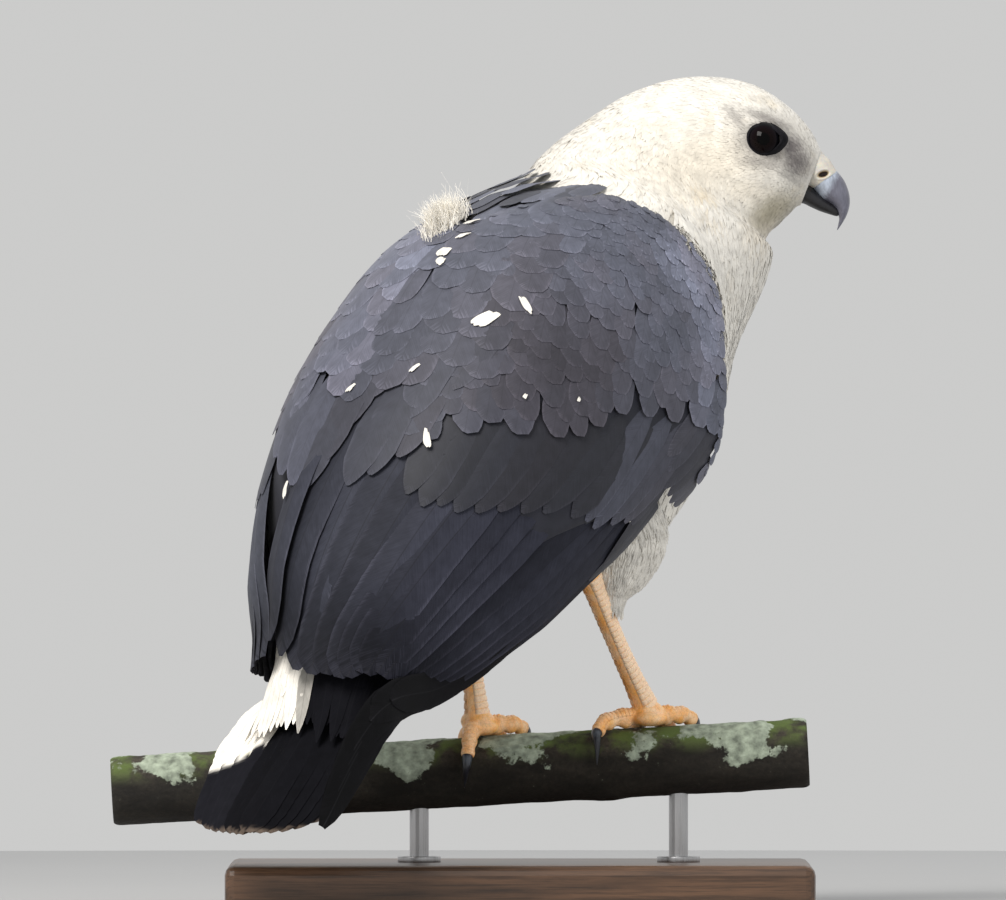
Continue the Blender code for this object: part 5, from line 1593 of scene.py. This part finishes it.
    @staticmethod
    def show_down(context, sizes, colours):
        """White feathers between the slate ones, and the loose tuft between the shoulders."""
        rng = np.random.default_rng(sizes.seed + 9)
        coat = Coat(4)
        white = np.array(colours.white)
        for t, degrees, long, wide, slant in WHITE_SPOTS:
            count = 7
            across = np.linspace(-0.45, 0.45, count) * wide
            place = np.full(count, float(t)) + 0.012 * long + rng.normal(size=count) * 0.002 * long
            angle = np.radians(degrees + across * 0.55)
            lie(coat, place - 0.02 * slant * across, angle, long * MM * rng.uniform(0.85, 1.0, count),
                0.3 * wide * MM, (0.3 * MM, 0.95 * MM, 0.9 * MM), vary(np.tile(white, (count, 1)), rng, 0.03),
                heading=slant + rng.normal(size=count) * 0.05, over_wing=1.0, thick=0.12 * MM,
                outline=rounded, rows=8)
        count, rows = TUFT_STRANDS, 5
        u = np.linspace(0, 1, rows)[None, :, None]
        root = skin(TUFT_STATION + 0.12 * rng.normal(size=count),
                    np.radians(TUFT_DEGREES + 1.8 * rng.normal(size=count)), 0, 1.0)
        lean = np.array([-0.15, -0.2, 1.0]) + rng.normal(size=(count, 3)) * np.array([0.2, 0.22, 0.14])
        long = (4 + 6 * rng.random(count) ** 1.5)[:, None, None] * MM
        bend = rng.normal(size=(count, 1, 3)) * 0.24
        path = root[:, None] + long * (u * lean[:, None] + u * u * (bend + np.array([-0.1, 0, -0.1])))
        side = unit(np.cross(lean, rng.normal(size=(count, 3))))[:, None]
        out = unit(np.cross(lean[:, None], side))
        wide = (0.15 * (1 - 0.8 * np.linspace(0, 1, rows)) + 0.025) * MM
        grid = np.stack([path + c * wide[None, :, None] * side + h * 0.35 * wide[None, :, None] * out
                         for c, h in zip(*coat.cuts)], 2)
        along = np.linspace(0, 1, rows)[None] * long[:, :, 0] / MM
        coat.add(grid, along, np.broadcast_to(wide / MM, (count, rows)),
                 (body_map(np.full(count, 7.0), np.zeros(count)), np.full((count, 2), ROOT_PATCH)),
                 vary(np.tile(white * 1.3, (count, 1)), rng, 0.03))
        look = feather_finish("white down", 0.8, 0.3, 0.05)
        show(coat.make("white_down", look), "white_feathers")


def grid_patch(number, columns, top, tall):
    """A wing or tail feather's own long patch on the baking map."""
    column, row = number % columns, number // columns
    wide, margin = 1.0 / columns, 0.002
    corner = np.array([[column * wide + margin, top - (row + 1) * tall + margin]])
    return corner, np.array([[wide - 2 * margin, tall - 2 * margin]])


def ragged(rng, rows, amount):
    """Small dents along a worn edge."""
    return 1 - amount * rng.random(rows) * (rng.random(rows) > 0.55)


def place_vane(coat, path, over, half, rng, tint, root_map, tilt, thick, outline=quill, hand=1.0, fray=0.05):
    """One large feather along a path, with the direction that its face looks in at each point."""
    rows = len(path)
    ahead = unit(np.gradient(path, axis=0))
    over = unit(over - ahead * (over * ahead).sum(1, keepdims=True))
    across = np.cross(ahead, over) * -hand
    u = np.linspace(0, 1, rows)
    wide = half * outline(u)
    edges = {-1: wide * ragged(rng, rows, fray), 1: wide * ragged(rng, rows, fray)}
    body = np.interp(u, (0, 0.1, 0.8, 1), (1.3, 1.0, 0.6, 0.35)) * thick
    grid = np.zeros((1, rows, len(coat.cuts[0]), 3))
    for cut, (c, h) in enumerate(zip(*coat.cuts)):
        reach = c * (edges[1] if c > 0 else edges[-1])
        sag = -0.9 * MM * c * c * (half / (10 * MM))
        grid[0, :, cut] = path + across * reach[:, None] + over * (h * body + tilt * c + sag)[:, None]
    along = np.concatenate([[0], np.cumsum(np.linalg.norm(np.diff(path, axis=0), axis=1))])[None, :] / MM
    coat.add(grid, along, wide[None, :] / MM, root_map, tint[None], hand < 0)


class HAWK_OT_flight_feathers(bpy.types.Operator):
    """Lays the tertials, secondaries and primaries of both folded wings"""

    bl_idname = "hawk.flight_feathers"
    bl_label = "Flight feathers"

    def execute(self, context):
        sizes, colours = coat_settings(context)
        look = feather_finish("dark flight feathers", 0.62, 0.04, 0.24, fringe=0.28, shaft=0.45, gloss=0.1)
        for name, hand in (("right", 1), ("left", -1)):
            rng = np.random.default_rng(sizes.seed + 20 + hand)
            coat = Coat(10)
            self.number = 0
            self.secondaries(coat, hand, sizes, colours, rng)
            self.primaries(coat, hand, sizes, colours, rng)
            show(coat.make("flight_feathers_" + name, look), "slate_feathers")
        return {"FINISHED"}

    def next_patch(self):
        self.number += 1
        return grid_patch(self.number - 1, 8, 1.0, 0.16)

    @staticmethod
    def tint(coat, rows, base, rng):
        """A vane's colour: darker along the inner web and towards the tip."""
        u = np.linspace(0, 1, rows)[:, None]
        c = np.asarray(coat.cuts[0], float)[None, :]
        web, tip = 0.82 + 0.3 * soft(c, -0.6, 0.7), 1 - 0.55 * soft(u, 0.6, 0.98)
        gain = (0.92 + 0.12 * rng.random()) * web * tip
        return base[None, None, :] * gain[..., None]

    def secondaries(self, coat, hand, sizes, colours, rng):
        rows = 34
        slate, dark = np.array(colours.slate), np.array(colours.slate_dark)
        if hand > 0:
            tips = np.concatenate([[-19, -8, 3, 15, 27], np.linspace(38, 119, 12)])
            line = SECONDARY_LINE
        else:
            tips = np.concatenate([[30, 40, 50], np.linspace(58, 119, 9)])
            line = LEFT_SECONDARY_LINE
        for tip_angle in tips:
            part = (tip_angle + 20) / 140
            outer = soft(tip_angle, 88, 119) * (hand > 0)
            root_t, root_angle = 5.15 + 0.2 * outer, tip_angle + 18 - 5 * part - 6 * outer
            tip_t = table(tip_angle, line) + rng.uniform(-0.04, 0.04)
            u = np.linspace(0, 1, rows)
            t = root_t + (tip_t - root_t) * u
            bulge = 7 * outer * np.sin(math.pi * u)
            angle = hand * np.radians(root_angle + (tip_angle - root_angle) * u + bulge)
            near_back = soft(part, 0.35, 0.0)
            lift = (np.interp(u, (0, 0.5, 1), (-3.6, -1.5, -0.9)) + near_back * 1.4 * hand) * MM
            path = skin(t, angle, lift, 1.0)
            over = unit(path - station(t)[0])
            # The far wing's flight feathers are painted lighter than the near wing's: a painted sheen of
            # grazing light.
            base = dark * (1.05 - 0.2 * part) if hand > 0 else slate * 0.8
            if hand > 0:
                base = base + (slate * 0.6 - base) * 0.45 * soft(tip_angle, 62, 8)
            base = base * (1 + 0.12 * rng.normal())
            half = np.interp(tip_angle, (-19, 15, 50, 119), (9.5, 10.5, 9.0, 8.6)) * MM
            tilt = (0.35 if tip_angle < 30 else 0.75) * MM
            place_vane(coat, path, over, half, rng, self.tint(coat, rows, base, rng), self.next_patch(), tilt,
                       sizes.vane_thickness * 0.6, hand=hand, fray=0.03)

    def primaries(self, coat, hand, sizes, colours, rng):
        rows = 40
        black = np.array(colours.black)
        for number, reach in enumerate(PRIMARY_LENGTHS):
            spread_by = number * 5 / (len(PRIMARY_LENGTHS) - 1)
            places, outs = [], []
            for t, angle, lift in OVER_TAIL if hand > 0 else UNDER_TAIL:
                fan = 5.2 * spread_by * max(0.0, 1.6 - t) if hand > 0 else 0.0
                turn = hand * math.radians(angle + 3.6 * (t + 0.3) / 4.8 * spread_by + fan)
                point = skin(t, turn, lift * MM - 1.03 * MM * spread_by, 1.0)
                places.append(point)
                outs.append(unit(point - station(t)[0][0]))
            whole, out = curve_points(places, 121), curve_points(outs, 121)
            at = np.linspace(0, 120 * reach, rows)
            path, over = read(at, range(121), whole), read(at, range(121), out)
            tint = self.tint(coat, rows, black * (0.6 + 0.2 * rng.random()), rng)
            place_vane(coat, path, over, (8.8 - 0.8 * reach) * MM, rng, tint, self.next_patch(), 0.5 * MM,
                       sizes.vane_thickness, hand=hand, fray=0.05)


# Tail

TAIL_SPREAD = ((0.0, 30), (0.2, 38), (0.4, 41), (0.7, 38), (1.1, 30))
TAIL_REACH = 1.13


class HAWK_OT_tail(bpy.types.Operator):
    """Fans the twelve tail feathers and lays the white and black coverts over their roots"""

    bl_idname = "hawk.tail"
    bl_label = "Tail"

    def execute(self, context):
        sizes, colours = coat_settings(context)
        rng = np.random.default_rng(sizes.seed + 40)
        coat = Coat(10)
        rows = 54
        centre, up, side, *_ = station([1.9, 0.0])
        along = centre[1] - centre[0]
        for k in range(6):
            for hand in (1, -1):
                stack = k + (1 if hand < 0 else 0)
                lane = (k + 0.5) / 5.5 * (0.8 if hand > 0 else -1.0)
                u = np.linspace(0, 1, rows)
                v = u * (TAIL_REACH - 0.006 * k * k - 0.03 * rng.random())
                wide = table(v, TAIL_SPREAD) * MM
                drop = (1.5 - 1.15 * stack * np.minimum(1.0, 0.35 + u)) * MM
                path = centre[0] + along * v[:, None] + side[0] * (lane * wide)[:, None]
                path = path + up[0] * drop[:, None]
                over = np.tile(up[0], (rows, 1))
                tint = self.tint(coat, rows, k, hand, colours, rng)
                patch = grid_patch(2 * k + (hand > 0), 6, 1.0, 0.45)
                place_vane(coat, path, over, 9.6 * MM, rng, tint, patch, 0.0, sizes.vane_thickness)
        self.coverts(coat, colours, rng)
        look = feather_finish("tail feathers", 0.85, 0.0, 0.16, fringe=0.06, shaft=0.25, gloss=0.04)
        show(coat.make("tail_feathers", look), "tail_feathers", "tail")
        return {"FINISHED"}

    @staticmethod
    def coverts(coat, colours, rng):
        """The feathers over the tail's root: white on the left side, black in the middle, and on the right
        painted black too, painted shade under the near wing.
        """
        white, black = np.array(colours.white), np.array(colours.black)
        count = 30
        for first, reach, long, sink in ((2.45, 84, 44, 4.6), (2.75, 78, 38, 1.8), (3.05, 72, 30, 0.3)):
            degrees = np.linspace(-reach, reach, count) + rng.uniform(-1.5, 1.5, count)
            # White on the left only; the right edge is painted black, painted shade under the near wing.
            pale = soft(degrees, 8, -2)[:, None]
            tint = vary(black + (white * 1.2 - black) * pale, rng, 0.03)
            roots = first + 0.1 * rng.random(count)
            lie(coat, roots, np.radians(degrees), (long + 9 * rng.random(count) - 4) * MM, 4.4 * MM,
                (-0.8 * MM, -0.4 * MM, -sink * MM), tint, thick=0.1 * MM, rows=12, outline=leaf,
                root_map=coat.cells(count, 0.033, 0.1))

    @staticmethod
    def tint(coat, rows, k, hand, colours, rng):
        """White with a black band and a worn tip on the outer pairs, black on the middle ones; on the right
        side three more feathers are painted black, painted shade under the near wing.
        """
        white, black, worn = (np.array(value) for value in (colours.white, colours.black, colours.worn_tip))
        u = np.linspace(0, 1, rows)[:, None]
        c = np.asarray(coat.cuts[0], float)[None, :]
        ragged_edge = 0.02 * np.sin(9 * c + k) + 0.015 * np.sin(23 * c + 2 * k)
        # On the right, three more feathers than on the left are painted black: painted shade under the near
        # wing.
        if k < (5 if hand > 0 else 2):
            found = np.tile(black * (0.7 + 0.2 * rng.random()), (rows, c.shape[1], 1))
        else:
            start = 0.37 + 0.06 * (k - 2)
            band = soft(u + ragged_edge, start, start + 0.04)
            found = white + (black * 1.6 - white) * (band * np.ones_like(c))[..., None]
        found = np.where(found > 0.3, np.clip(found * 1.25, 0, 0.93), found)
        ends = soft(u + 0.6 * ragged_edge + 0.02 * np.abs(c), 0.972, 0.992)[..., None] * 0.6
        return found + (worn - found) * ends


# Legs and claws

BRANCH_RADIUS = 15.2 * MM
BRANCH_ENDS = (-170 * MM, 120 * MM)
BRANCH_HEIGHT = 57.8 * MM
BRANCH_SLOPE = 0.055
BRANCH_ALONG = np.array([1.0, 0.0, BRANCH_SLOPE]) / math.hypot(1.0, BRANCH_SLOPE)
BRANCH_UP = np.cross(BRANCH_ALONG, np.array([0.0, 1.0, 0.0]))
TOES = {
    "inner": (((2, -7), (9, -8), (15, -16), (19, -34)), (22, -68)),
    "middle": (((2, -12), (8, -42), (12, -76), (15, -104)), (17, -140)),
    "outer": (((-2, -12), (-5, -44), (-9, -74), (-11, -98)), (-12, -132)),
}
TOE_RADIUS, TOE_TIP_RADIUS = 3.9 * MM, 2.7 * MM
TOE_UP = np.array([0.31, 0.2, 0.93])
# Radii in millimetres from one end to the other.
SHANK_RADII = ((0, 5.0), (0.2, 5.5), (0.4, 4.3), (0.65, 3.9), (0.85, 4.3), (1, 5.4))
CLAW_RADII = ((0, 2.1), (0.2, 2.3), (0.5, 1.8), (0.75, 1.1), (0.92, 0.45), (1, 0.12))


def branch_centre(x):
    return np.array([x, 0.0, BRANCH_HEIGHT + BRANCH_SLOPE * (x - PERCH_X)])


def on_branch(x, degrees, lift):
    """A point over the branch's surface, at an angle from its top towards the front."""
    turn = math.radians(degrees)
    return branch_centre(x) + (BRANCH_RADIUS + lift) * (
        math.cos(turn) * BRANCH_UP - math.sin(turn) * np.array([0.0, 1.0, 0.0]))


# A scute's height above the limb along it, in millimetres, and how deep it goes, as a share of the radius.
SCUTE_PROFILE = ((0.0, -0.35), (0.25, 0.12), (0.6, 0.3), (0.9, 0.34), (1.12, -0.1))
SCUTE_DEPTH = 0.86


def scutes(path, radii, face, pitch, reach, look, tint):
    """A row of overlapping plates along a limb, on the side that looks towards face."""
    lengths = np.concatenate([[0], np.cumsum(np.linalg.norm(np.diff(path, axis=0), axis=1))])
    count = max(2, int(lengths[-1] / pitch))
    ahead = unit(np.gradient(path, axis=0))
    turn = np.linspace(-reach, reach, 9)
    rim = 1 - 0.75 * (np.abs(turn) / reach) ** 4
    made = []
    for number in range(count):
        rows = []
        at = [min((number + u) * pitch, lengths[-1]) for u, _ in SCUTE_PROFILE]
        middles = read(at, lengths, path)[:, None]
        for place, direction, radius, (_, high) in zip(
                middles, unit(read(at, lengths, ahead)), np.interp(at, lengths, radii), SCUTE_PROFILE):
            out = unit(face - direction * (face @ direction))
            side = np.cross(direction, out)
            rows.append(place + (radius + high * MM * rim)[:, None] * (
                np.cos(turn)[:, None] * out + np.sin(turn)[:, None] * side))
        rows = np.array(rows)
        inner = middles + (rows - middles) * SCUTE_DEPTH
        grid = np.concatenate([rows, inner[:, ::-1]], 1)
        made.append(loft("scute", grid, look, tint=np.tile(tint, (grid.shape[0] * grid.shape[1], 1))))
    return made


class HAWK_OT_legs(bpy.types.Operator):
    """Makes both scaled legs with their toes round the perch, and the eight claws"""

    bl_idname = "hawk.legs"
    bl_label = "Legs and claws"

    def execute(self, context):
        colours = context.scene.hawk_bare_colours
        scale_look = leg_finish(colours)
        # The claws' pale bluish colour is a painted highlight.
        horn = horn_finish("claw horn", (*colours.claw,), (0.13, 0.15, 0.18), "pale", 0.28)
        tint = np.array(colours.leg)
        for side in FEET:
            limbs, plates = self.limbs(side, scale_look, tint)
            leg = limbs[0]
            join(leg, *limbs[1:])
            melt = leg.modifiers.new("melt", "REMESH")
            melt.mode = "VOXEL"
            melt.voxel_size = 0.55 * MM
            select_only(leg)
            bpy.ops.object.modifier_apply(modifier=melt.name)
            relax = leg.modifiers.new("relax", "SMOOTH")
            relax.iterations = 6
            bpy.ops.object.modifier_apply(modifier=relax.name)
            outward(leg)
            self.paint(leg, tint)
            leg.data.shade_smooth()
            join(leg, *plates)
            leg.name = leg.data.name = "scaled_leg_" + side
            show(leg, "leg_scales", "leg_" + side)
            self.claws(side, horn)
        return {"FINISHED"}

    @staticmethod
    def paint(leg, tint):
        points = vertices_of(leg)
        amount = patches(points, 5 * MM, 11)[:, None]
        found = np.concatenate([np.clip(tint * (0.8 + 0.4 * amount), 0, 1), np.ones((len(points), 1))], 1)
        leg.data.materials.clear()
        leg.data.materials.append(bpy.data.materials["orange leg scales"])
        old = leg.data.attributes.get("tint")
        if old:
            leg.data.attributes.remove(old)
        layer = leg.data.attributes.new("tint", "FLOAT_COLOR", "POINT")
        layer.data.foreach_set("color", found.astype(np.float32).ravel())

    @staticmethod
    def toe(side, name):
        """A toe's path over the branch and its radius, with a swelling at each joint."""
        x = FEET[side]["x"] * MM
        steps, claw = {**TOES, "hallux": FEET[side]["hallux"]}[name]
        lift = TOE_RADIUS + 1.2 * GAP
        path = curve_points([on_branch(x + along * MM, turn, lift) for along, turn in steps], 40)
        u = np.linspace(0, 1, 40)
        radii = TOE_RADIUS + (TOE_TIP_RADIUS - TOE_RADIUS) * u
        radii = radii * (1 + 0.09 * np.cos(u * 3.2 * 2 * math.pi))
        return path, radii, x, claw

    def limbs(self, side, look, tint):
        ankle = on_branch(FEET[side]["x"] * MM, 0, 7.0 * MM)
        hock = np.array(FEET[side]["hock"]) * MM
        shank = curve_points([hock + (hock - ankle) * 0.08, hock, hock + (ankle - hock) * 0.5
                              + np.array([-0.6, 0, 0]) * MM, ankle], 48)
        radii = table(np.linspace(0, 1, len(shank)), SHANK_RADII) * MM
        made = [loft("shank", tube_rings(shank, radii, 28, up=np.array([1.0, 0.3, 0.0]), flat=0.93), look)]
        # Plates on the leg's front are painted pale, a painted highlight, and plates on its back painted
        # darker, painted shade.
        front = unit(np.array([0.75, -0.35, 0.1]))
        highlight_tint = tint * 0.25 + np.array([1.0, 0.78, 0.58]) * 0.75
        plates = scutes(shank[8:], radii[8:], front, 2.7 * MM, 1.25, look, highlight_tint)
        plates += scutes(shank[10:], radii[10:], -front, 3.4 * MM, 1.0, look, tint * 0.55)
        x = FEET[side]["x"] * MM
        for place, size in ((on_branch(x, 0, 5.6 * MM), (7.2, 6.6, 5.0)),
                            (on_branch(x + 1 * MM, 8, 3.0 * MM), (7.6, 7.2, 3.4))):
            made.append(primitive("uv_sphere", "pad", segments=28, ring_count=18, radius=MM, location=place,
                                  scale=size))
        for name in (*TOES, "hallux"):
            path, radii, *_ = self.toe(side, name)
            made.append(loft("toe", tube_rings(path, radii, 24, up=TOE_UP), look))
            middle = branch_centre(path[:, 0].mean())
            outside = unit(path.mean(0) - middle)
            plates += scutes(path[3:], radii[3:], outside, 1.9 * MM, 1.15, look, tint)
            for u in (10, 22, 34):
                pad = path[u] - unit(path[u] - branch_centre(path[u][0])) * radii[u] * 0.35
                made.append(primitive("uv_sphere", "toe_pad", segments=16, ring_count=10, location=pad,
                                      radius=radii[u] * 0.95))
        return made, plates

    def claws(self, side, look):
        for name in (*TOES, "hallux"):
            path, _, x, claw = self.toe(side, name)
            direction = unit(path[-1] - path[-2])
            tip = on_branch(x + claw[0] * MM, claw[1], 2.0 * MM)
            root = path[-1] + direction * 0.4 * GAP
            outward_way = unit(path[-1] - branch_centre(path[-1][0]))
            bend = (root + tip) / 2 + outward_way * 2.2 * MM
            hook = curve_points([root - direction * 0.8 * MM, root + direction * 1.5 * MM, bend, tip], 36)
            u = np.linspace(0, 1, 36)
            radii = table(u, CLAW_RADII) * MM
            made = loft(f"claw_horn_{side}_{name}", tube_rings(hook, radii, 20, up=TOE_UP, flat=1.0), look)
            # A pale bluish band along each claw's middle: a painted highlight.
            set_attribute(made, "pale", np.repeat(0.45 * np.exp(-((u - 0.35) / 0.25) ** 2), 20))
            show(made, "claw_horn", f"claw_{side}_{name}")


# Perch and stand

ROD_PLACES = (-42 * MM, 66 * MM)
# The rings of a sawn end, as shares of the branch's radius.
CAP_SHARES = (0.02, 0.35, 0.7, 0.93)
# Knots: X, angle round the branch in radians, height and width in millimetres.
KNOTS = ((-118, 0.7, 4.5, 7), (-60, 2.4, 3.0, 6), (36, 3.4, 2.8, 6), (98, 5.6, 3.5, 6))


class HAWK_OT_perch(bpy.types.Operator):
    """Makes the branch, with rough bark, raised lichen, knots and two sawn ends"""

    bl_idname = "hawk.perch"
    bl_label = "Perch"

    def execute(self, context):
        colours = context.scene.hawk_bare_colours
        long, sides = 420, 128
        x = np.linspace(*BRANCH_ENDS, long)
        turn = full_turn(sides)
        out = np.cos(turn)[:, None] * BRANCH_UP + np.sin(turn)[:, None] * np.array([0, 1.0, 0])
        centre = np.stack([x, np.zeros(long), BRANCH_HEIGHT + BRANCH_SLOPE * (x - PERCH_X)], -1)
        flat = centre[:, None] + out[None] * BRANCH_RADIUS
        bark, crust = self.relief(flat.reshape(-1, 3), np.tile(np.cos(turn), long))
        radius = BRANCH_RADIUS - 0.9 * MM + bark.reshape(long, sides)
        ends = np.minimum(np.arange(long), np.arange(long)[::-1])
        radius = radius - 1.1 * MM * np.exp(-ends / 1.5)[:, None]
        rings = centre[:, None] + out[None] * radius[..., None]
        near, far = ([centre[end] + (rings[end] - centre[end]) * share for share in CAP_SHARES]
                     for end in (0, -1))
        whole = np.concatenate([near, rings, far[::-1]])
        branch = loft("lichened_branch", whole, bark_finish(colours))
        branch.data.materials.append(cut_wood_finish())
        share = np.concatenate([CAP_SHARES, np.ones(long), CAP_SHARES[::-1]])
        set_attribute(branch, "off", np.repeat(share, sides))
        pad = np.zeros(len(CAP_SHARES) * sides)
        top = soft(np.tile(np.cos(turn) + 0.25 * np.sin(turn * 2 + 1), long), -0.15, 0.6)
        set_attribute(branch, "top", np.concatenate([pad, top, pad]))
        set_attribute(branch, "crust", np.concatenate([pad, crust, pad]))
        for face in branch.data.polygons:
            ring = min(face.vertices) // sides
            if ring < len(CAP_SHARES) or ring >= long + len(CAP_SHARES) - 1:
                face.material_index = 1
        show(branch, "bark", "perch_branch")
        return {"FINISHED"}

    @staticmethod
    def relief(points, upward):
        """Height of the bark in metres, and how much of each point is under lichen."""
        height, crust = np.zeros(len(points)), np.zeros(len(points))
        for number, (point, up) in enumerate(zip(points, upward)):
            long = Vector((point[0] * 0.4, point[1], point[2]))
            coarse = noise.fractal(long * 60, 1.0, 2.1, 4)
            fine = noise.fractal(long * 300 + Vector((3, 1, 7)), 1.0, 2.2, 3)
            patch = noise.fractal(Vector(point) * 42 + Vector((9, 2, 5)), 0.9, 2.3, 5)
            here = patch * 0.75 + 0.42 * up - 0.28
            amount = min(1.0, max(0.0, here * 5))
            crust[number] = amount
            height[number] = (0.55 * coarse + 0.16 * fine + amount * (0.35 + 0.25 * fine)) * MM
        for x, turn, high, wide in KNOTS:
            place = branch_centre(x * MM) + BRANCH_RADIUS * (math.cos(turn) * BRANCH_UP
                                                            + math.sin(turn) * np.array([0, 1.0, 0]))
            off = np.linalg.norm(points - place, axis=1) / (wide * MM)
            height += high * 0.5 * MM * (np.exp(-(off**2)) - 0.9 * np.exp(-((off / 0.4) ** 2)))
        return height, crust


class HAWK_OT_stand(bpy.types.Operator):
    """Finishes the wooden base and the two steel rods, and adds a steel collar at each rod's foot"""

    bl_idname = "hawk.stand"
    bl_label = "Stand"

    def execute(self, context):
        colours = context.scene.hawk_bare_colours
        wood, metal = base_wood_finish(colours), metal_finish(colours)
        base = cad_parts["stand_base"]
        base.data.materials.clear()
        base.data.materials.append(wood)
        for number in (1, 2):
            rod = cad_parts[f"stand_rod_{number}"]
            rod.data.materials.clear()
            rod.data.materials.append(metal)
        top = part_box("stand_base")[1].z
        for number, place in enumerate(ROD_PLACES, 1):
            bpy.ops.object.select_all(action="DESELECT")
            bpy.ops.mesh.primitive_cylinder_add(vertices=64, radius=9 * MM, depth=2.4 * MM,
                                                location=(place, 0, top + 1.2 * MM))
            collar = bpy.context.object
            bpy.ops.object.mode_set(mode="EDIT")
            bpy.ops.mesh.select_all(action="DESELECT")
            form = bmesh.from_edit_mesh(collar.data)
            for face in form.faces:
                face.select_set(len(face.verts) > 4 and face.normal.z > 0.9)
            form.select_flush_mode()
            bmesh.update_edit_mesh(collar.data)
            bpy.ops.mesh.inset(thickness=3.2 * MM)
            bpy.ops.transform.translate(value=(0, 0, 1.8 * MM))
            bpy.ops.mesh.inset(thickness=1.5 * MM)
            bpy.ops.object.mode_set(mode="OBJECT")
            edge = collar.modifiers.new("edge", "BEVEL")
            edge.width = 0.4 * MM
            edge.segments = 3
            edge.limit_method = "ANGLE"
            edge.angle_limit = math.radians(20)
            settle(collar, f"stand_collar_{number}")
            bpy.ops.object.modifier_apply(modifier=edge.name)
            bpy.ops.object.shade_smooth_by_angle(angle=math.radians(35))
            collar.data.materials.append(metal)
            show(collar, "stand_metal")
        return {"FINISHED"}


class HAWK_OT_stage(bpy.types.Operator):
    """Sets the pale floor, the soft lights and the camera at the photograph's angle"""

    bl_idname = "hawk.stage"
    bl_label = "Floor, lights and camera"

    def execute(self, context):
        settings = context.scene.hawk_stage
        floor = primitive("circle", "floor", vertices=160, radius=1.4, fill_type="NGON",
                          location=(0, 0, -0.4 * MM))
        made, tree = finish("pale floor", Roughness=0.85)
        tone = noise_value(tree, object_place(tree), 3.0, 2.0)
        paint(made, shade(tree, (*settings.floor,), ramp(tree, tone, (0.3, 0.98), (0.7, 1.0))))
        floor.data.materials.append(made)

        world = bpy.data.worlds.new("pale studio")
        world.use_nodes = True
        background = world.node_tree.nodes["Background"]
        background.inputs[0].default_value = (0.97, 0.97, 0.96, 1.0)
        background.inputs[1].default_value = 0.62
        context.scene.world = world
        target = Vector((0.0, 0.02, 0.2))
        for name, place, size, power in (
            ("key", (-0.95, -1.35, 1.75), 1.1, settings.key_power),
            ("fill", (1.6, -1.5, 0.5), 1.2, settings.fill_power),
            ("rim", (0.7, 1.6, 1.5), 0.9, settings.rim_power),
        ):
            lamp = bpy.data.lights.new(name, "AREA")
            lamp.energy = power
            lamp.size = size
            lamp.color = (1.0, 0.975, 0.94) if name == "key" else (0.95, 0.97, 1.0)
            holder = bpy.data.objects.new(name, lamp)
            holder.location = place
            holder.rotation_euler = (target - Vector(place)).to_track_quat("-Z", "Y").to_euler()
            holder.visible_glossy = name == "key"
            context.scene.collection.objects.link(holder)

        camera = bpy.data.cameras.new("photograph's view")
        camera.sensor_width = 36.0
        camera.lens = 36.0 * settings.distance / settings.view_width
        camera.clip_end = 100.0
        holder = bpy.data.objects.new("camera", camera)
        holder.location = Vector(settings.view_centre) + Vector((0, -settings.distance, 0))
        holder.rotation_euler = (math.pi / 2, 0, 0)
        context.scene.collection.objects.link(holder)
        context.scene.camera = holder
        context.scene.view_settings.view_transform = "Standard"
        return {"FINISHED"}


GROUPS = {
    "hawk_coat_sizes": CoatSizes,
    "hawk_coat_colours": CoatColours,
    "hawk_bare_colours": BareColours,
    "hawk_stage": StageSettings,
}
PIECES = (HAWK_OT_stage, HAWK_OT_skin, HAWK_OT_eyes, HAWK_OT_bill, HAWK_OT_head_coat, HAWK_OT_body_coat,
          HAWK_OT_wing_coverts, HAWK_OT_flight_feathers, HAWK_OT_tail, HAWK_OT_legs, HAWK_OT_perch,
          HAWK_OT_stand)


class HAWK_PT_sidebar(bpy.types.Panel):
    """Lists the hawk's sizes, colours and pieces"""

    bl_idname = "HAWK_PT_sidebar"
    bl_label = "White-necked hawk"
    bl_space_type = "VIEW_3D"
    bl_region_type = "UI"
    bl_category = "Hawk"

    def draw(self, context):
        for name, group in GROUPS.items():
            box = self.layout.box()
            for key in group.__annotations__:
                box.prop(getattr(context.scene, name), key)
        for piece in PIECES:
            self.layout.operator(piece.bl_idname)


def register():
    for kind in (*GROUPS.values(), *PIECES, HAWK_PT_sidebar):
        bpy.utils.register_class(kind)
    for name, group in GROUPS.items():
        setattr(bpy.types.Scene, name, bpy.props.PointerProperty(type=group))


def unregister():
    for name in GROUPS:
        delattr(bpy.types.Scene, name)
    for kind in reversed((*GROUPS.values(), *PIECES, HAWK_PT_sidebar)):
        bpy.utils.unregister_class(kind)


def main():
    register()
    bpy.ops.hawk.stage()
    bpy.ops.hawk.skin()
    bpy.ops.hawk.eyes()
    bpy.ops.hawk.bill()
    bpy.ops.hawk.head_coat()
    bpy.ops.hawk.body_coat()
    bpy.ops.hawk.wing_coverts()
    bpy.ops.hawk.flight_feathers()
    bpy.ops.hawk.tail()
    bpy.ops.hawk.legs()
    bpy.ops.hawk.perch()
    bpy.ops.hawk.stand()


if __name__ == "__main__":
    main()
